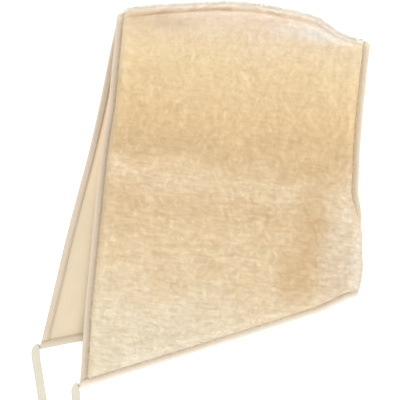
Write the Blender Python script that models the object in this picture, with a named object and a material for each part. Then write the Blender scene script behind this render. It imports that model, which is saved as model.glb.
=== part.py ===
"""A wool fleece seat belt pad, folded in half and lying flat.

The pad is one strip of fleece with a smooth lining, folded over at its middle with the wool outside. Tape
binds its four edges, and a strap of the same tape makes a loop at the corners of the two long sides.

Every piece is a flat slab bent into place. A place in the pad is given by three values: u runs across the
strip from the long side (0) to the short side (1), q runs along it from the free end of the lower panel (-1)
over the fold (0 to 1) to the free end of the upper panel (2), and n is the distance from the face where
the fleece meets the lining, positive into the wool.

The script works in metres, with the fold along X and +Z up. The pad rests on z = 0.
"""

import math
from dataclasses import dataclass

import bmesh
import bpy
from mathutils import Vector

MM = 0.001
NAME = "seat_belt_pad"

# Strip: its width at the fold, and each panel's two sides with their lean away from the fold's normal
FOLD_WIDTH = 205.0 * MM
UPPER_LONG_SIDE = 298.5 * MM
UPPER_LONG_LEAN = math.radians(0.9)
UPPER_SHORT_SIDE = 200.2 * MM
UPPER_SHORT_LEAN = math.radians(4.4)
LOWER_LONG_SIDE = 272.5 * MM
LOWER_LONG_LEAN = math.radians(-6.7)
LOWER_SHORT_SIDE = 196.5 * MM
LOWER_SHORT_LEAN = math.radians(-2.9)

# Free end of the upper panel: it bows out a little, and its soft short corner is drawn back from this
# share of its width on
END_BOW = 1.2 * MM
CORNER_DRAW = 5.0 * MM
CORNER_START = 0.84

# Cloth: the wool's depth and the round shoulder that it has near an edge, the flange that the tape grips,
# and the tape, which covers the edge and starts to turn round it a little way in
PILE_DEPTH = 7.0 * MM
SHOULDER = 7.0 * MM
FLANGE = 1.0 * MM
LINING = 0.6 * MM
TAPE = 0.6 * MM
TAPE_COVER = 4.0 * MM
TAPE_TURN = 0.2 * MM
CLEARANCE = 0.3 * MM
FLOOR_GAP = 0.1 * MM

# Fold: a half round roll whose line bows away from the panels. Near the short side, from and over the
# shares of its width named, it loses most of its bow and the wool on it lies thin
ROLL_RADIUS = 6.25 * MM
FOLD_BOW = 15.3 * MM
BOW_SKEW = 1.12
LOW_END_START = 0.76
LOW_END_SPAN = 0.2
LOW_END_LOSS = 0.8
LOW_END_THIN = 4.0 * MM
CHANNEL_LENGTH = 150.0 * MM
PARTING_ANGLE = math.radians(53.0)
PARTING_HALF_ANGLE = math.radians(16.0)
PARTING_DEPTH = 2.4 * MM

# Lie of the two panels: how far in from an edge the lower one droops, and how far the upper one takes to
# reach the surface once it passes the lower one's edge
LOWER_DROOP = 22.0 * MM
DROOP_FADE = 60.0 * MM
LANDING_OUTSIDE = 28.0 * MM
LANDING_INSIDE = 15.0 * MM

# Soft ridge across the upper panel, and shallow waves in its wool
RIDGE_HEIGHT = 2.0 * MM
RIDGE_HALF_WIDTH = 11.0 * MM
RIDGE_FROM_FOLD = 119.5 * MM
RIDGE_SLOPE = 0.116
WAVE_HEIGHT = 0.5 * MM
WAVE_LENGTH = 31.0 * MM

# Short side of the upper panel: it bows in, then swells out and curls under itself, and its corner is
# tucked in. The bow and the swell fade across the panel with a power of u
SIDE_BOW = 5.2 * MM
SIDE_SWELL = 8.0 * MM
CORNER_TUCK = 3.5 * MM
TUCK_START = 0.86
SIDE_FADE = 4
CURL_START = 0.58
CURL_FULL = 0.78
CURL_RADIUS = 6.0 * MM
CURL_ANGLE = math.radians(78.0)
SWELL_WIDTH = 14.0 * MM
VALLEY_DEPTH = 2.5 * MM
VALLEY_INSET = 38.0 * MM
VALLEY_HALF_WIDTH = 8.0 * MM

# Long side of the upper panel: it bows out between these shares of its length, and keeps a little of the
# bow to its corner
LONG_BOW = 2.6 * MM
LONG_BOW_START, LONG_BOW_FULL = 0.20, 0.38
LONG_BOW_UNTIL, LONG_BOW_KEPT = 0.76, 0.3

# Long side of the lower panel: it bows in up to this share of its length
LOWER_BOW = 2.0 * MM
LOWER_BOW_UNTIL = 0.70

# Strap: it is gathered where it leaves a corner in line with the tape there, lies flat, and turns on edge at
# the end of its loop, between the shares of its length named last
STRAP_WIDTH = 7.0 * MM
STRAP_THICKNESS = 1.0 * MM
STRAP_GATHERED = 4.4 * MM
GATHER_LENGTH = 9.0 * MM
STRAP_LEAD = 1.5 * MM
STRAP_LANDING = 14.0 * MM
STRAP_ROUTE = (
    (-37.0 * MM, -273.3 * MM),
    (-36.7 * MM, -277.4 * MM),
    (-35.1 * MM, -284.5 * MM),
    (-31.7 * MM, -296.0 * MM),
    (-26.9 * MM, -314.0 * MM),
    (-21.9 * MM, -333.0 * MM),
    (-17.6 * MM, -349.0 * MM),
    (-12.5 * MM, -359.0 * MM),
    (-6.4 * MM, -361.5 * MM),
    (-1.6 * MM, -356.0 * MM),
    (0.2 * MM, -345.0 * MM),
    (1.0 * MM, -330.0 * MM),
    (0.9 * MM, -315.0 * MM),
    (-0.1 * MM, -306.5 * MM),
    (-1.1 * MM, -302.1 * MM),
)
EDGE_FROM, EDGE_FULL, EDGE_UNTIL, FLAT_FROM = 0.32, 0.44, 0.60, 0.74

# Heights and reaches that follow from the sizes above
LINING_SEAT = CLEARANCE + LINING
TAPE_INNER_HALF = (FLANGE + LINING_SEAT) / 2 + CLEARANCE
TAPE_MIDDLE = (FLANGE - LINING_SEAT) / 2
NOSE_REACH = TAPE_INNER_HALF + TAPE - TAPE_TURN
ROLL_CENTRE = PILE_DEPTH + ROLL_RADIUS
LOWER_EDGE = FLANGE + CLEARANCE + TAPE + FLOOR_GAP
UPPER_ON_FLOOR = LINING_SEAT + CLEARANCE + TAPE + FLOOR_GAP
UPPER_REST = PILE_DEPTH + 2 * LINING_SEAT + TAPE + 2 * CLEARANCE
WOOL_INSET = TAPE_COVER + CLEARANCE

# Grid lines, the same for every piece so that their faces lie parallel: shares of the wool's shoulder near
# an edge, further ones where the short side curls, the angles of the roll, and counts over the rest
SHOULDER_LINES = (0.13, 0.52, 1.0)
CURL_LINES = (1.3, 1.75, 2.3)
ROLL_ANGLES = (-90, -66, -42, -18, 5, 25, 40, 53, 66, 90)
INNER_COLUMNS = 8
LOWER_ROWS = 9
UPPER_ROWS = 15
NOSE_STEPS = 3
STRAP_RINGS = 56
ROUTE_STEPS = 24
NORMAL_STEP = 1e-4
SHARP_ANGLE = math.radians(40.0)


def ease(x):
    """A smooth step from 0 to 1 as x goes from 0 to 1."""
    x = min(max(x, 0.0), 1.0)
    return x * x * (3.0 - 2.0 * x)


def bump(x):
    """A smooth hill, 1 high at x = 0 and about a third of that at x = 1."""
    return math.exp(-x * x)


def cross(a, b):
    """The area spanned by two plan vectors."""
    return a.x * b.y - a.y * b.x


def low_end(u):
    """How far the fold has come down towards its short side at u, from 0 to 1."""
    return ease((u - LOW_END_START) / LOW_END_SPAN)


def fold_point(u):
    """A plan point on the fold's axis."""
    bow = math.sin(math.pi * min(max(u, 0.0), 1.0) ** BOW_SKEW) * (1.0 - LOW_END_LOSS * low_end(u))
    return Vector((u * FOLD_WIDTH, FOLD_BOW * bow))


@dataclass(frozen=True)
class Panel:
    """One half of the strip in plan, from the fold to its free end.

    Its places have u from the long side (0) to the short side (1) and t from the fold (0) to the end (1).
    """

    long_side: float
    long_lean: float
    short_side: float
    short_lean: float
    end_bow: float = 0.0
    corner_draw: float = 0.0

    def corner(self, right):
        """The free corner at the end of one side."""
        start = FOLD_WIDTH if right else 0.0
        side = self.short_side if right else self.long_side
        lean = self.short_lean if right else self.long_lean
        return Vector((start + side * math.sin(lean), -side * math.cos(lean)))

    def point(self, u, t):
        """The plan point at u and t."""
        end = self.corner(False).lerp(self.corner(True), u)
        end.y -= self.end_bow * math.sin(math.pi * min(max(u, 0.0), 1.0))
        end.y += self.corner_draw * ease((u - CORNER_START) / (1.0 - CORNER_START))
        return fold_point(u).lerp(end, t)

    def row(self, t):
        """The way from the long side to the short one at t."""
        return self.point(1.0, t) - self.point(0.0, t)

    def side_reach(self, t, right):
        """Distance from one side to the far end of the row at t."""
        lean = self.short_lean if right else self.long_lean
        side = Vector((math.sin(lean), -math.cos(lean)))
        return abs(cross(side, self.row(t)))

    def end_reach(self, u):
        """Distance from the fold's axis at u to the free end."""
        along = (self.corner(True) - self.corner(False)).normalized()
        return abs(cross(along, self.corner(False) - fold_point(u)))


UPPER = Panel(UPPER_LONG_SIDE, UPPER_LONG_LEAN, UPPER_SHORT_SIDE, UPPER_SHORT_LEAN, END_BOW, CORNER_DRAW)
LOWER = Panel(LOWER_LONG_SIDE, LOWER_LONG_LEAN, LOWER_SHORT_SIDE, LOWER_SHORT_LEAN)


def distance_in(point, start, end):
    """How far a plan point lies to the left of the line from start to end."""
    along = (end - start).normalized()
    return cross(along, point - start)


def lower_insets(point):
    """Distances of a plan point in from the lower panel's long side, short side and free end."""
    long_corner, short_corner = LOWER.corner(False), LOWER.corner(True)
    return (
        distance_in(point, fold_point(0.0), long_corner),
        distance_in(point, short_corner, fold_point(1.0)),
        distance_in(point, long_corner, short_corner),
    )


def lower_height(point):
    """Height of the lower panel, which droops to the surface at its edges."""
    inside = math.prod(ease(inset / LOWER_DROOP) for inset in lower_insets(point))
    droop = (1.0 - inside) * ease(-point.y / DROOP_FADE)
    return PILE_DEPTH - (PILE_DEPTH - LOWER_EDGE) * droop


def lower_bow(u, t):
    """How far the long side of the lower panel bows in at t, which fades across the panel."""
    return LOWER_BOW * math.sin(math.pi * min(t / LOWER_BOW_UNTIL, 1.0)) ** 2 * (1.0 - u) ** SIDE_FADE


def curl_share(t):
    """How far the short side of the upper panel is curled under, from 0 to 1."""
    return ease((t - CURL_START) / (CURL_FULL - CURL_START))


def long_bow(t):
    """How far the long side of the upper panel bows out at t."""
    rise = ease((t - LONG_BOW_START) / (LONG_BOW_FULL - LONG_BOW_START))
    fall = ease((t - LONG_BOW_UNTIL) / (1.0 - LONG_BOW_UNTIL))
    return LONG_BOW * rise * (1.0 - (1.0 - LONG_BOW_KEPT) * fall)


def curl_drop(angle):
    """Height that the curled edge loses on its way down, with the tape on it."""
    lip = WOOL_INSET + NOSE_REACH
    tape = TAPE_INNER_HALF + TAPE
    return CURL_RADIUS * (1.0 - math.cos(angle)) + lip * math.sin(angle) + tape * math.cos(angle)


def upper_height(point, t, inset):
    """Height of the upper panel before its curl, with its inset from the short side."""
    _, right, end = lower_insets(point)
    span = LANDING_OUTSIDE + LANDING_INSIDE
    held = ease((right + LANDING_OUTSIDE) / span) * ease((end + LANDING_OUTSIDE) / span)
    base = UPPER_ON_FLOOR + (UPPER_REST - UPPER_ON_FLOOR) * held

    share = curl_share(t)
    crest = max(base, curl_drop(CURL_ANGLE) + FLOOR_GAP)
    curl_start = CURL_RADIUS * CURL_ANGLE + WOOL_INSET
    base += (crest - base) * share * bump(max(inset - curl_start, 0.0) / SWELL_WIDTH)
    base -= VALLEY_DEPTH * share * held * bump((inset - VALLEY_INSET) / VALLEY_HALF_WIDTH)

    ridge = point.y + RIDGE_FROM_FOLD - RIDGE_SLOPE * point.x
    base += RIDGE_HEIGHT * held * bump(ridge / RIDGE_HALF_WIDTH)

    fall = (fold_point(point.x / FOLD_WIDTH).y - point.y) / CHANNEL_LENGTH
    lift = 1.0 - ease(fall)
    return base + (ROLL_CENTRE + ROLL_RADIUS - base) * lift


def upper_face(u, t):
    """The upper panel's face between fleece and lining, with its short side curled under."""
    reach = UPPER.side_reach(t, True)
    angle = CURL_ANGLE * curl_share(t)
    arc = CURL_RADIUS * angle
    zone = arc + WOOL_INSET
    inset = (1.0 - u) * reach
    into = max(zone - inset, 0.0)
    flat_u = min(u, 1.0 - zone / reach)

    turned = min(into / CURL_RADIUS, angle)
    straight = max(into - arc, 0.0)
    run = CURL_RADIUS * math.sin(turned) + straight * math.cos(angle)
    drop = CURL_RADIUS * (1.0 - math.cos(turned)) + straight * math.sin(angle)

    point = UPPER.point(flat_u, t)
    height = upper_height(point, t, max(inset, zone)) - drop
    shift = SIDE_SWELL * curl_share(t) - SIDE_BOW * math.sin(math.pi * min(t, 1.0))
    shift -= CORNER_TUCK * ease((t - TUCK_START) / (1.0 - TUCK_START))
    shift = shift * max(flat_u, 0.0) ** SIDE_FADE - long_bow(t) * (1.0 - flat_u) ** SIDE_FADE
    point = point + UPPER.row(t) * (run / reach) + Vector((shift, 0.0))
    return Vector((*point, height))


def face_point(u, q):
    """A point of the face between fleece and lining."""
    if q < 0.0:
        point = LOWER.point(u, -q)
        return Vector((point.x + lower_bow(u, -q), point.y, lower_height(point)))
    if q > 1.0:
        return upper_face(u, q - 1.0)
    axis = Vector((*fold_point(u), ROLL_CENTRE))
    return axis + roll_normal(q) * ROLL_RADIUS


def roll_normal(q):
    """The direction out of the roll."""
    angle = math.pi * (q - 0.5)
    return Vector((0.0, math.cos(angle), math.sin(angle)))


def face_normal(u, q):
    """The direction from the lining into the fleece."""
    if q <= 1.0:
        return roll_normal(max(q, 0.0))
    along = face_point(u, q + NORMAL_STEP) - face_point(u, max(q - NORMAL_STEP, 1.0))
    aside = face_point(u + NORMAL_STEP, q) - face_point(u - NORMAL_STEP, q)
    return along.cross(aside).normalized()


def pad_point(u, q, n):
    """A point at a distance n from the face between fleece and lining."""
    return face_point(u, q) + face_normal(u, q) * n


def side_reach(q, right):
    """Distance from one long edge of the strip to the far end of its row at q."""
    if 0.0 <= q <= 1.0:
        return FOLD_WIDTH
    return UPPER.side_reach(q - 1.0, right) if q > 1.0 else LOWER.side_reach(-q, right)


def across_strip(inset, q, right):
    """The u of a line that keeps a distance from one long edge."""
    share = inset / side_reach(q, right)
    return 1.0 - share if right else share


def along_strip(inset, u, upper):
    """The q of a line that keeps a distance from a free end."""
    panel = UPPER if upper else LOWER
    t = 1.0 - inset / panel.end_reach(min(max(u, 0.0), 1.0))
    return 1.0 + t if upper else -t


def edge_lines(curled=False):
    """Insets of the grid lines that follow an edge, and of those in the curl of the short side."""
    shares = SHOULDER_LINES + (CURL_LINES if curled else ())
    return [0.0, WOOL_INSET] + [WOOL_INSET + share * SHOULDER for share in shares]


@dataclass(frozen=True)
class Row:
    """A grid line across the strip.

    In the roll it keeps a q. In a panel, lower or upper, it keeps an inset from the free end, moved by a
    share of the way that is left to the fold.
    """

    part: str
    q: float = 0.0
    inset: float = 0.0
    share: float = 0.0

    def at(self, u):
        """The row's q at u."""
        if self.part == "roll":
            return self.q
        upper = self.part == "upper"
        q = along_strip(self.inset, u, upper)
        fold = 1.0 if upper else 0.0
        return q + (fold - q) * self.share

    def end_inset(self, u):
        """The row's distance at u from the strip's free end."""
        if self.part == "roll":
            return math.inf
        if self.part == "upper":
            return (2.0 - self.at(u)) * UPPER.end_reach(u)
        return (1.0 + self.at(u)) * LOWER.end_reach(u)


@dataclass(frozen=True)
class Column:
    """A grid line along the strip: an inset from one side, moved by a share of the way across."""

    right: bool
    inset: float
    share: float = 0.0

    def at(self, q):
        """The column's u at q."""
        u = across_strip(self.inset, q, self.right)
        return u + (across_strip(edge_lines(curled=True)[-1], q, True) - u) * self.share


def strip_rows():
    """The rows, from the lower panel's end to the upper one's."""
    lines = edge_lines()
    rows = [Row("lower", inset=inset) for inset in lines]
    rows += [Row("lower", inset=lines[-1], share=step / LOWER_ROWS) for step in range(1, LOWER_ROWS)]
    rows += [Row("roll", q=angle / 180.0 + 0.5) for angle in ROLL_ANGLES]
    rows += [Row("upper", inset=lines[-1], share=1.0 - step / UPPER_ROWS) for step in range(1, UPPER_ROWS)]
    rows += [Row("upper", inset=inset) for inset in reversed(lines)]
    return rows


def strip_columns():
    """The columns, from the long side to the short one."""
    lines = edge_lines()
    columns = [Column(False, inset) for inset in lines]
    columns += [Column(False, lines[-1], step / INNER_COLUMNS) for step in range(1, INNER_COLUMNS)]
    columns += [Column(True, inset) for inset in reversed(edge_lines(curled=True))]
    return columns


def grid_place(column, row):
    """The u and q where a column and a row meet."""
    u = column.at(row.at(0.5))
    return u, row.at(u)


def wool_rise(inset):
    """How much of its full depth the wool has at a distance from an edge: a round shoulder."""
    x = min(max((inset - WOOL_INSET) / SHOULDER, 0.0), 1.0)
    return math.sqrt(1.0 - (1.0 - x) ** 2)


def wool_depth(u, q, end_inset):
    """Depth of the wool, less where it parts along the fold, with shallow waves on the upper panel."""
    left = u * side_reach(q, False)
    right = (1.0 - u) * side_reach(q, True)
    rise = wool_rise(left) * wool_rise(right) * wool_rise(end_inset)
    if q < 0.0:
        return FLANGE + (face_point(u, q).z - FLANGE) * rise
    full = PILE_DEPTH
    if q <= 1.0:
        off = (math.pi * (q - 0.5) - PARTING_ANGLE) / PARTING_HALF_ANGLE
        full -= PARTING_DEPTH * bump(off) + LOW_END_THIN * low_end(u) * math.sin(math.pi * q)
    else:
        place = face_point(u, q) * (2.0 * math.pi / WAVE_LENGTH)
        start = ease((q - 1.0) * UPPER_SHORT_SIDE / WAVE_LENGTH)
        full += WAVE_HEIGHT * start * math.sin(place.x + math.sin(place.y)) * math.sin(place.y)
    return FLANGE + (full - FLANGE) * rise


def split_squares(sheet, columns, other_way):
    """Cuts the grid's squares in two, all along one diagonal but for the columns named in other_way."""
    for face in sheet.faces[:]:
        column = int((face.calc_center_median().x + 0.5) * columns)
        sign = -1.0 if column in other_way else 1.0
        ends = sorted(face.verts, key=lambda vert: vert.co.x + sign * vert.co.y)
        bmesh.utils.face_split(face, ends[0], ends[-1])


def bent_slab(name, columns, rows, place, material, other_way=()):
    """A closed slab of columns by rows of squares, each corner put where place(column, row, far) says."""
    mesh = bpy.data.meshes.new(name)
    sheet = bmesh.new()
    bmesh.ops.create_grid(sheet, x_segments=columns, y_segments=rows, size=0.5)
    split_squares(sheet, columns, other_way)
    faces = bmesh.ops.extrude_face_region(sheet, geom=sheet.faces[:])
    far = {item for item in faces["geom"] if isinstance(item, bmesh.types.BMVert)}
    for vert in sheet.verts:
        column = round((vert.co.x + 0.5) * columns)
        row = round((vert.co.y + 0.5) * rows)
        vert.co = place(column, row, vert in far)
    bmesh.ops.recalc_face_normals(sheet, faces=sheet.faces[:])
    if sheet.calc_volume(signed=True) < 0.0:
        bmesh.ops.reverse_faces(sheet, faces=sheet.faces[:])
    sheet.to_mesh(mesh)
    sheet.free()
    mesh.shade_smooth()
    mesh.set_sharp_from_angle(angle=SHARP_ANGLE)
    mesh.materials.append(material)
    piece = bpy.data.objects.new(name, mesh)
    bpy.data.collections[NAME].objects.link(piece)
    return piece


def make_material(name, colour, roughness):
    """A matt cloth material."""
    material = bpy.data.materials.new(name)
    material.use_nodes = True
    shader = material.node_tree.nodes["Principled BSDF"]
    shader.inputs["Base Color"].default_value = (*colour, 1.0)
    shader.inputs["Roughness"].default_value = roughness
    shader.inputs["Metallic"].default_value = 0.0
    return material


def make_fleece(material):
    """The fleece: a thin flange under the tape and deep wool inside it."""
    columns, rows = strip_columns(), strip_rows()

    def place(column, row, far):
        u, q = grid_place(columns[column], rows[row])
        depth = wool_depth(u, q, rows[row].end_inset(u)) if far else 0.0
        return pad_point(u, q, depth)

    return bent_slab("fleece", len(columns) - 1, len(rows) - 1, place, material)


def make_lining(material):
    """The lining: thin cloth on the inner side of the fleece."""
    columns, rows = strip_columns(), strip_rows()

    def place(column, row, far):
        u, q = grid_place(columns[column], rows[row])
        return pad_point(u, q, -LINING_SEAT if far else -CLEARANCE)

    return bent_slab("lining", len(columns) - 1, len(rows) - 1, place, material)


def tape_section():
    """The tape's section round an edge, as pairs of inset and n on its inner and its outer face."""
    section = []
    for radius in (TAPE_INNER_HALF, TAPE_INNER_HALF + TAPE):
        turn = [math.pi * (0.5 + step / NOSE_STEPS) for step in range(NOSE_STEPS + 1)]
        face = [(TAPE_COVER, TAPE_MIDDLE + radius)]
        face += [(TAPE_TURN + radius * math.cos(x), TAPE_MIDDLE + radius * math.sin(x)) for x in turn]
        face += [(TAPE_COVER, TAPE_MIDDLE - radius)]
        section.append(face)
    return list(zip(*section))


def make_side_binding(name, right, material):
    """The tape on one side of the strip, over the fold, between the tapes of the two ends."""
    section = tape_section()
    rows = strip_rows()[1:-1]
    border = 1.0 if right else 0.0

    def place(column, row, far):
        inset, n = section[column][1 if far else 0]
        u = across_strip(inset, rows[row].at(border), right)
        return pad_point(u, rows[row].at(u), n)

    arm = len(section) - 2 if right else 0
    return bent_slab(name, len(section) - 1, len(rows) - 1, place, material, other_way=(arm,))


def make_end_binding(name, upper, material):
    """The tape on one free end of the strip, over the full width of its corners."""
    section = tape_section()
    columns = strip_columns()
    columns[0] = Column(False, -NOSE_REACH)
    columns[-1] = Column(True, -NOSE_REACH)
    end_q = 2.0 if upper else -1.0

    def place(column, row, far):
        inset, n = section[column][1 if far else 0]
        u = columns[row].at(end_q)
        return pad_point(u, along_strip(inset, u, upper), n)

    arm = len(section) - 2 if upper else 0
    return bent_slab(name, len(section) - 1, len(columns) - 1, place, material, other_way=(arm,))


def corner_exit(upper):
    """Where the strap leaves a long corner: the middle of its end, its way out and its width's way."""
    panel = UPPER if upper else LOWER
    end_q = 2.0 if upper else -1.0
    inset = (TAPE_COVER - NOSE_REACH) / 2
    u = across_strip(-NOSE_REACH - CLEARANCE, end_q, False)
    middle = pad_point(u, along_strip(inset, u, upper), TAPE_MIDDLE)
    out = (panel.corner(False) - panel.corner(True)).normalized()
    return middle, out, panel.corner(False).normalized()


def smooth_route(points, count):
    """Points evenly spread along a smooth curve through the given ones."""
    points = [2 * points[0] - points[1], *points, 2 * points[-1] - points[-2]]
    curve = []
    for before, start, end, after in zip(points, points[1:], points[2:], points[3:]):
        for step in range(ROUTE_STEPS):
            x = step / ROUTE_STEPS
            bend = 2 * before - 5 * start + 4 * end - after
            twist = 3 * (start - end) + after - before
            curve.append(start + (x * (end - before) + x * x * bend + x**3 * twist) / 2)
    curve.append(points[-2])
    lengths = [0.0]
    for one, two in zip(curve, curve[1:]):
        lengths.append(lengths[-1] + (two - one).length)
    route = []
    at = 0
    for index in range(count + 1):
        want = lengths[-1] * index / count
        while at < len(curve) - 2 and lengths[at + 1] < want:
            at += 1
        share = (want - lengths[at]) / (lengths[at + 1] - lengths[at])
        route.append(curve[at].lerp(curve[at + 1], share))
    return route, lengths[-1]


def make_strap(material):
    """The strap: a flat tape from one long corner to the other, lying on the surface."""
    start, start_out, start_side = corner_exit(False)
    finish, finish_out, finish_side = corner_exit(True)
    points = [start.xy, start.xy + start_out * STRAP_LEAD]
    points += [Vector(point) for point in STRAP_ROUTE]
    points += [finish.xy + finish_out * STRAP_LEAD, finish.xy]
    route, length = smooth_route(points, STRAP_RINGS)

    def ring(index):
        share = index / STRAP_RINGS
        back, ahead = route[max(index - 1, 0)], route[min(index + 1, STRAP_RINGS)]
        along = (ahead - back).normalized()
        aside = Vector((-along.y, along.x))
        if index == 0:
            aside = -start_side
        if index == STRAP_RINGS:
            aside = finish_side
        on_edge = ease((share - EDGE_FROM) / (EDGE_FULL - EDGE_FROM))
        on_edge *= 1.0 - ease((share - EDGE_UNTIL) / (FLAT_FROM - EDGE_UNTIL))
        angle = on_edge * math.pi / 2
        wide = aside.to_3d() * math.cos(angle) + Vector((0.0, 0.0, math.sin(angle)))
        thick = aside.to_3d() * -math.sin(angle) + Vector((0.0, 0.0, math.cos(angle)))
        from_end = min(share, 1.0 - share) * length
        width = STRAP_GATHERED + (STRAP_WIDTH - STRAP_GATHERED) * ease(from_end / GATHER_LENGTH)
        lying = (width * math.sin(angle) + STRAP_THICKNESS * math.cos(angle)) / 2 + FLOOR_GAP
        seat = start.z if share < 0.5 else finish.z
        height = lying + (seat - lying) * (1.0 - ease(from_end / STRAP_LANDING))
        return Vector((*route[index], height)), wide * width, thick * STRAP_THICKNESS

    def place(column, row, far):
        middle, wide, thick = ring(row)
        return middle + wide * (column - 0.5) + thick * (0.5 if far else -0.5)

    return bent_slab("strap_loop", 1, STRAP_RINGS, place, material)


def centre_on_pad(pieces):
    """Hangs the pieces on an empty that puts the origin under the middle of the pad without its strap."""
    corners = [Vector(corner) for piece in pieces[:-1] for corner in piece.bound_box]
    middle = [(min(axis) + max(axis)) / 2 for axis in list(zip(*corners))[:2]]
    frame = bpy.data.objects.new(NAME + "_frame", None)
    bpy.data.collections[NAME].objects.link(frame)
    frame.location = (-middle[0], -middle[1], 0.0)
    for piece in pieces:
        piece.parent = frame


def main():
    for thing in list(bpy.data.objects):
        bpy.data.objects.remove(thing, do_unlink=True)
    collection = bpy.data.collections.new(NAME)
    bpy.context.scene.collection.children.link(collection)

    wool = make_material("wool_fleece", (0.82, 0.64, 0.42), 0.95)
    cloth = make_material("lining_cloth", (0.79, 0.65, 0.48), 0.85)
    tape = make_material("binding_tape", (0.67, 0.55, 0.42), 0.8)
    webbing = make_material("strap_tape", (0.80, 0.75, 0.64), 0.8)

    pieces = [
        make_fleece(wool),
        make_lining(cloth),
        make_side_binding("binding_long_side", False, tape),
        make_side_binding("binding_short_side", True, tape),
        make_end_binding("binding_upper_end", True, tape),
        make_end_binding("binding_lower_end", False, tape),
        make_strap(webbing),
    ]
    centre_on_pad(pieces)


main()
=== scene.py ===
"""Dresses a wool fleece seat belt pad that lies folded in half on a white table.

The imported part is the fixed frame, and every piece here follows the same rule as its solids. A place in the
pad is given by three values: u runs across the strip from the long side (0) to the short side (1), q runs
along it from the free end of the lower panel (-1) over the fold (0 to 1) to the free end of the upper panel
(2), and n is the distance from the face where the fleece meets the lining, positive into the wool.

Lengths are in metres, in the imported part's frame: the fold along X, the pad on z = 0.
"""

from __future__ import annotations

import logging
import math
from dataclasses import dataclass
from enum import Enum
from functools import partial
from typing import Any, Mapping, Sequence

import bmesh
import bpy
import numpy as np
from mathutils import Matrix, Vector

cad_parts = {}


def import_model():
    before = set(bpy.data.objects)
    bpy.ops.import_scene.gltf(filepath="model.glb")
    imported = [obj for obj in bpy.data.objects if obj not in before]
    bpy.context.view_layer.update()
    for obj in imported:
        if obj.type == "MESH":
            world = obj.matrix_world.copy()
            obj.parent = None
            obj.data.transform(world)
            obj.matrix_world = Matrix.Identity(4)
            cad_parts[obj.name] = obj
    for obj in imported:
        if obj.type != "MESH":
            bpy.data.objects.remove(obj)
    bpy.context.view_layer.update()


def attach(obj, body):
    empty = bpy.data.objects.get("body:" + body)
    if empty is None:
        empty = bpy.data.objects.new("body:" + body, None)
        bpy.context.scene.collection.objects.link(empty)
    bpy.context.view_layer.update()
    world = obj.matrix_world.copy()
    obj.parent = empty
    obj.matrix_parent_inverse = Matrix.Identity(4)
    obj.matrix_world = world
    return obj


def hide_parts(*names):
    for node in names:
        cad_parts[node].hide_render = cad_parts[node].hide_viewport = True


log = logging.getLogger("seat_belt_pad")

MM = 0.001
TABLE_GAP = 0.05 * MM
BODY = "root"
TINY = 1e-9
PAST_THE_STRIP = 9.0

MATH = "ShaderNodeMath"
VECTOR_MATH = "ShaderNodeVectorMath"
MAP_RANGE = "ShaderNodeMapRange"
NOISE = "ShaderNodeTexNoise"
MIX = "ShaderNodeMix"
STORED = "GeometryNodeInputNamedAttribute"
RANDOM = "FunctionNodeRandomValue"
ALIGN = "FunctionNodeAlignRotationToVector"
SOCKET_KINDS = {float: "Float", int: "Int", tuple: "Vector", type(None): "Material"}

Grid = np.ndarray
Socket = bpy.types.NodeSocket
Tree = bpy.types.NodeTree
Piece = bpy.types.Object


def smooth_step(x: Grid | float) -> Grid:
    """Goes smoothly from 0 to 1 as x does."""
    x = np.clip(x, 0.0, 1.0)
    return x * x * (3.0 - 2.0 * x)


def bell(x: Grid | float) -> Grid:
    """Gives a smooth hill, 1 high at x = 0 and about a third of that at x = 1."""
    return np.exp(-np.square(x))


def area_of(a: Grid, b: Grid) -> Grid:
    """Gives the area spanned by plan vectors."""
    return a[..., 0] * b[..., 1] - a[..., 1] * b[..., 0]


def unit(vectors: Grid) -> Grid:
    """Gives vectors the length 1."""
    return vectors / np.linalg.norm(vectors, axis=-1, keepdims=True)


def walked(points: Grid) -> Grid:
    """Gives the distance walked along a line of points."""
    return np.concatenate(([0.0], np.cumsum(np.linalg.norm(np.diff(points, axis=0), axis=-1))))


def linear(hex_colour: str) -> tuple[float, float, float, float]:
    """Turns an sRGB hex colour into the linear one that a shader takes.

    Args:
        hex_colour: The colour as "#RRGGBB".

    Returns:
        Linear red, green and blue, with an alpha of 1.
    """
    channels = [int(hex_colour[at : at + 2], 16) / 255.0 for at in (1, 3, 5)]
    red, green, blue = (c / 12.92 if c <= 0.04045 else ((c + 0.055) / 1.055) ** 2.4 for c in channels)
    return red, green, blue, 1.0


def wire(
    tree: Tree,
    kind: str,
    *placed: Any,
    out: int | str = 0,
    named: Mapping[str, Any] | None = None,
    stops: Sequence[tuple[float, tuple[float, ...]]] = (),
    **settings: Any,
) -> Socket:
    """Adds a node with its settings and its links.

    Args:
        tree: The node tree that takes it.
        kind: Its type name.
        placed: A value or another node's output for each input in turn, or None to leave that input alone.
        out: The output to give, by number or by name.
        named: The same for inputs by name.
        stops: The places and colours of a colour ramp's stops.
        settings: Its properties, set before its inputs.

    Returns:
        The output.
    """
    node = tree.nodes.new(kind)
    for name, value in settings.items():
        setattr(node, name, value)
    for _ in stops[2:]:
        node.color_ramp.elements.new(0.5)
    for stop, (at, colour) in zip(node.color_ramp.elements if stops else (), stops):
        stop.position, stop.color = at, colour
    given = [(socket, value) for socket, value in zip(node.inputs, placed) if value is not None]
    for name, value in (named or {}).items():
        given.append((next(s for s in node.inputs if s.name == name and s.enabled), value))
    for socket, value in given:
        if isinstance(value, Socket):
            tree.links.new(value, socket)
        else:
            socket.default_value = value
    if isinstance(out, int):
        return node.outputs[out]
    return next(socket for socket in node.outputs if socket.name == out and socket.enabled)


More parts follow.
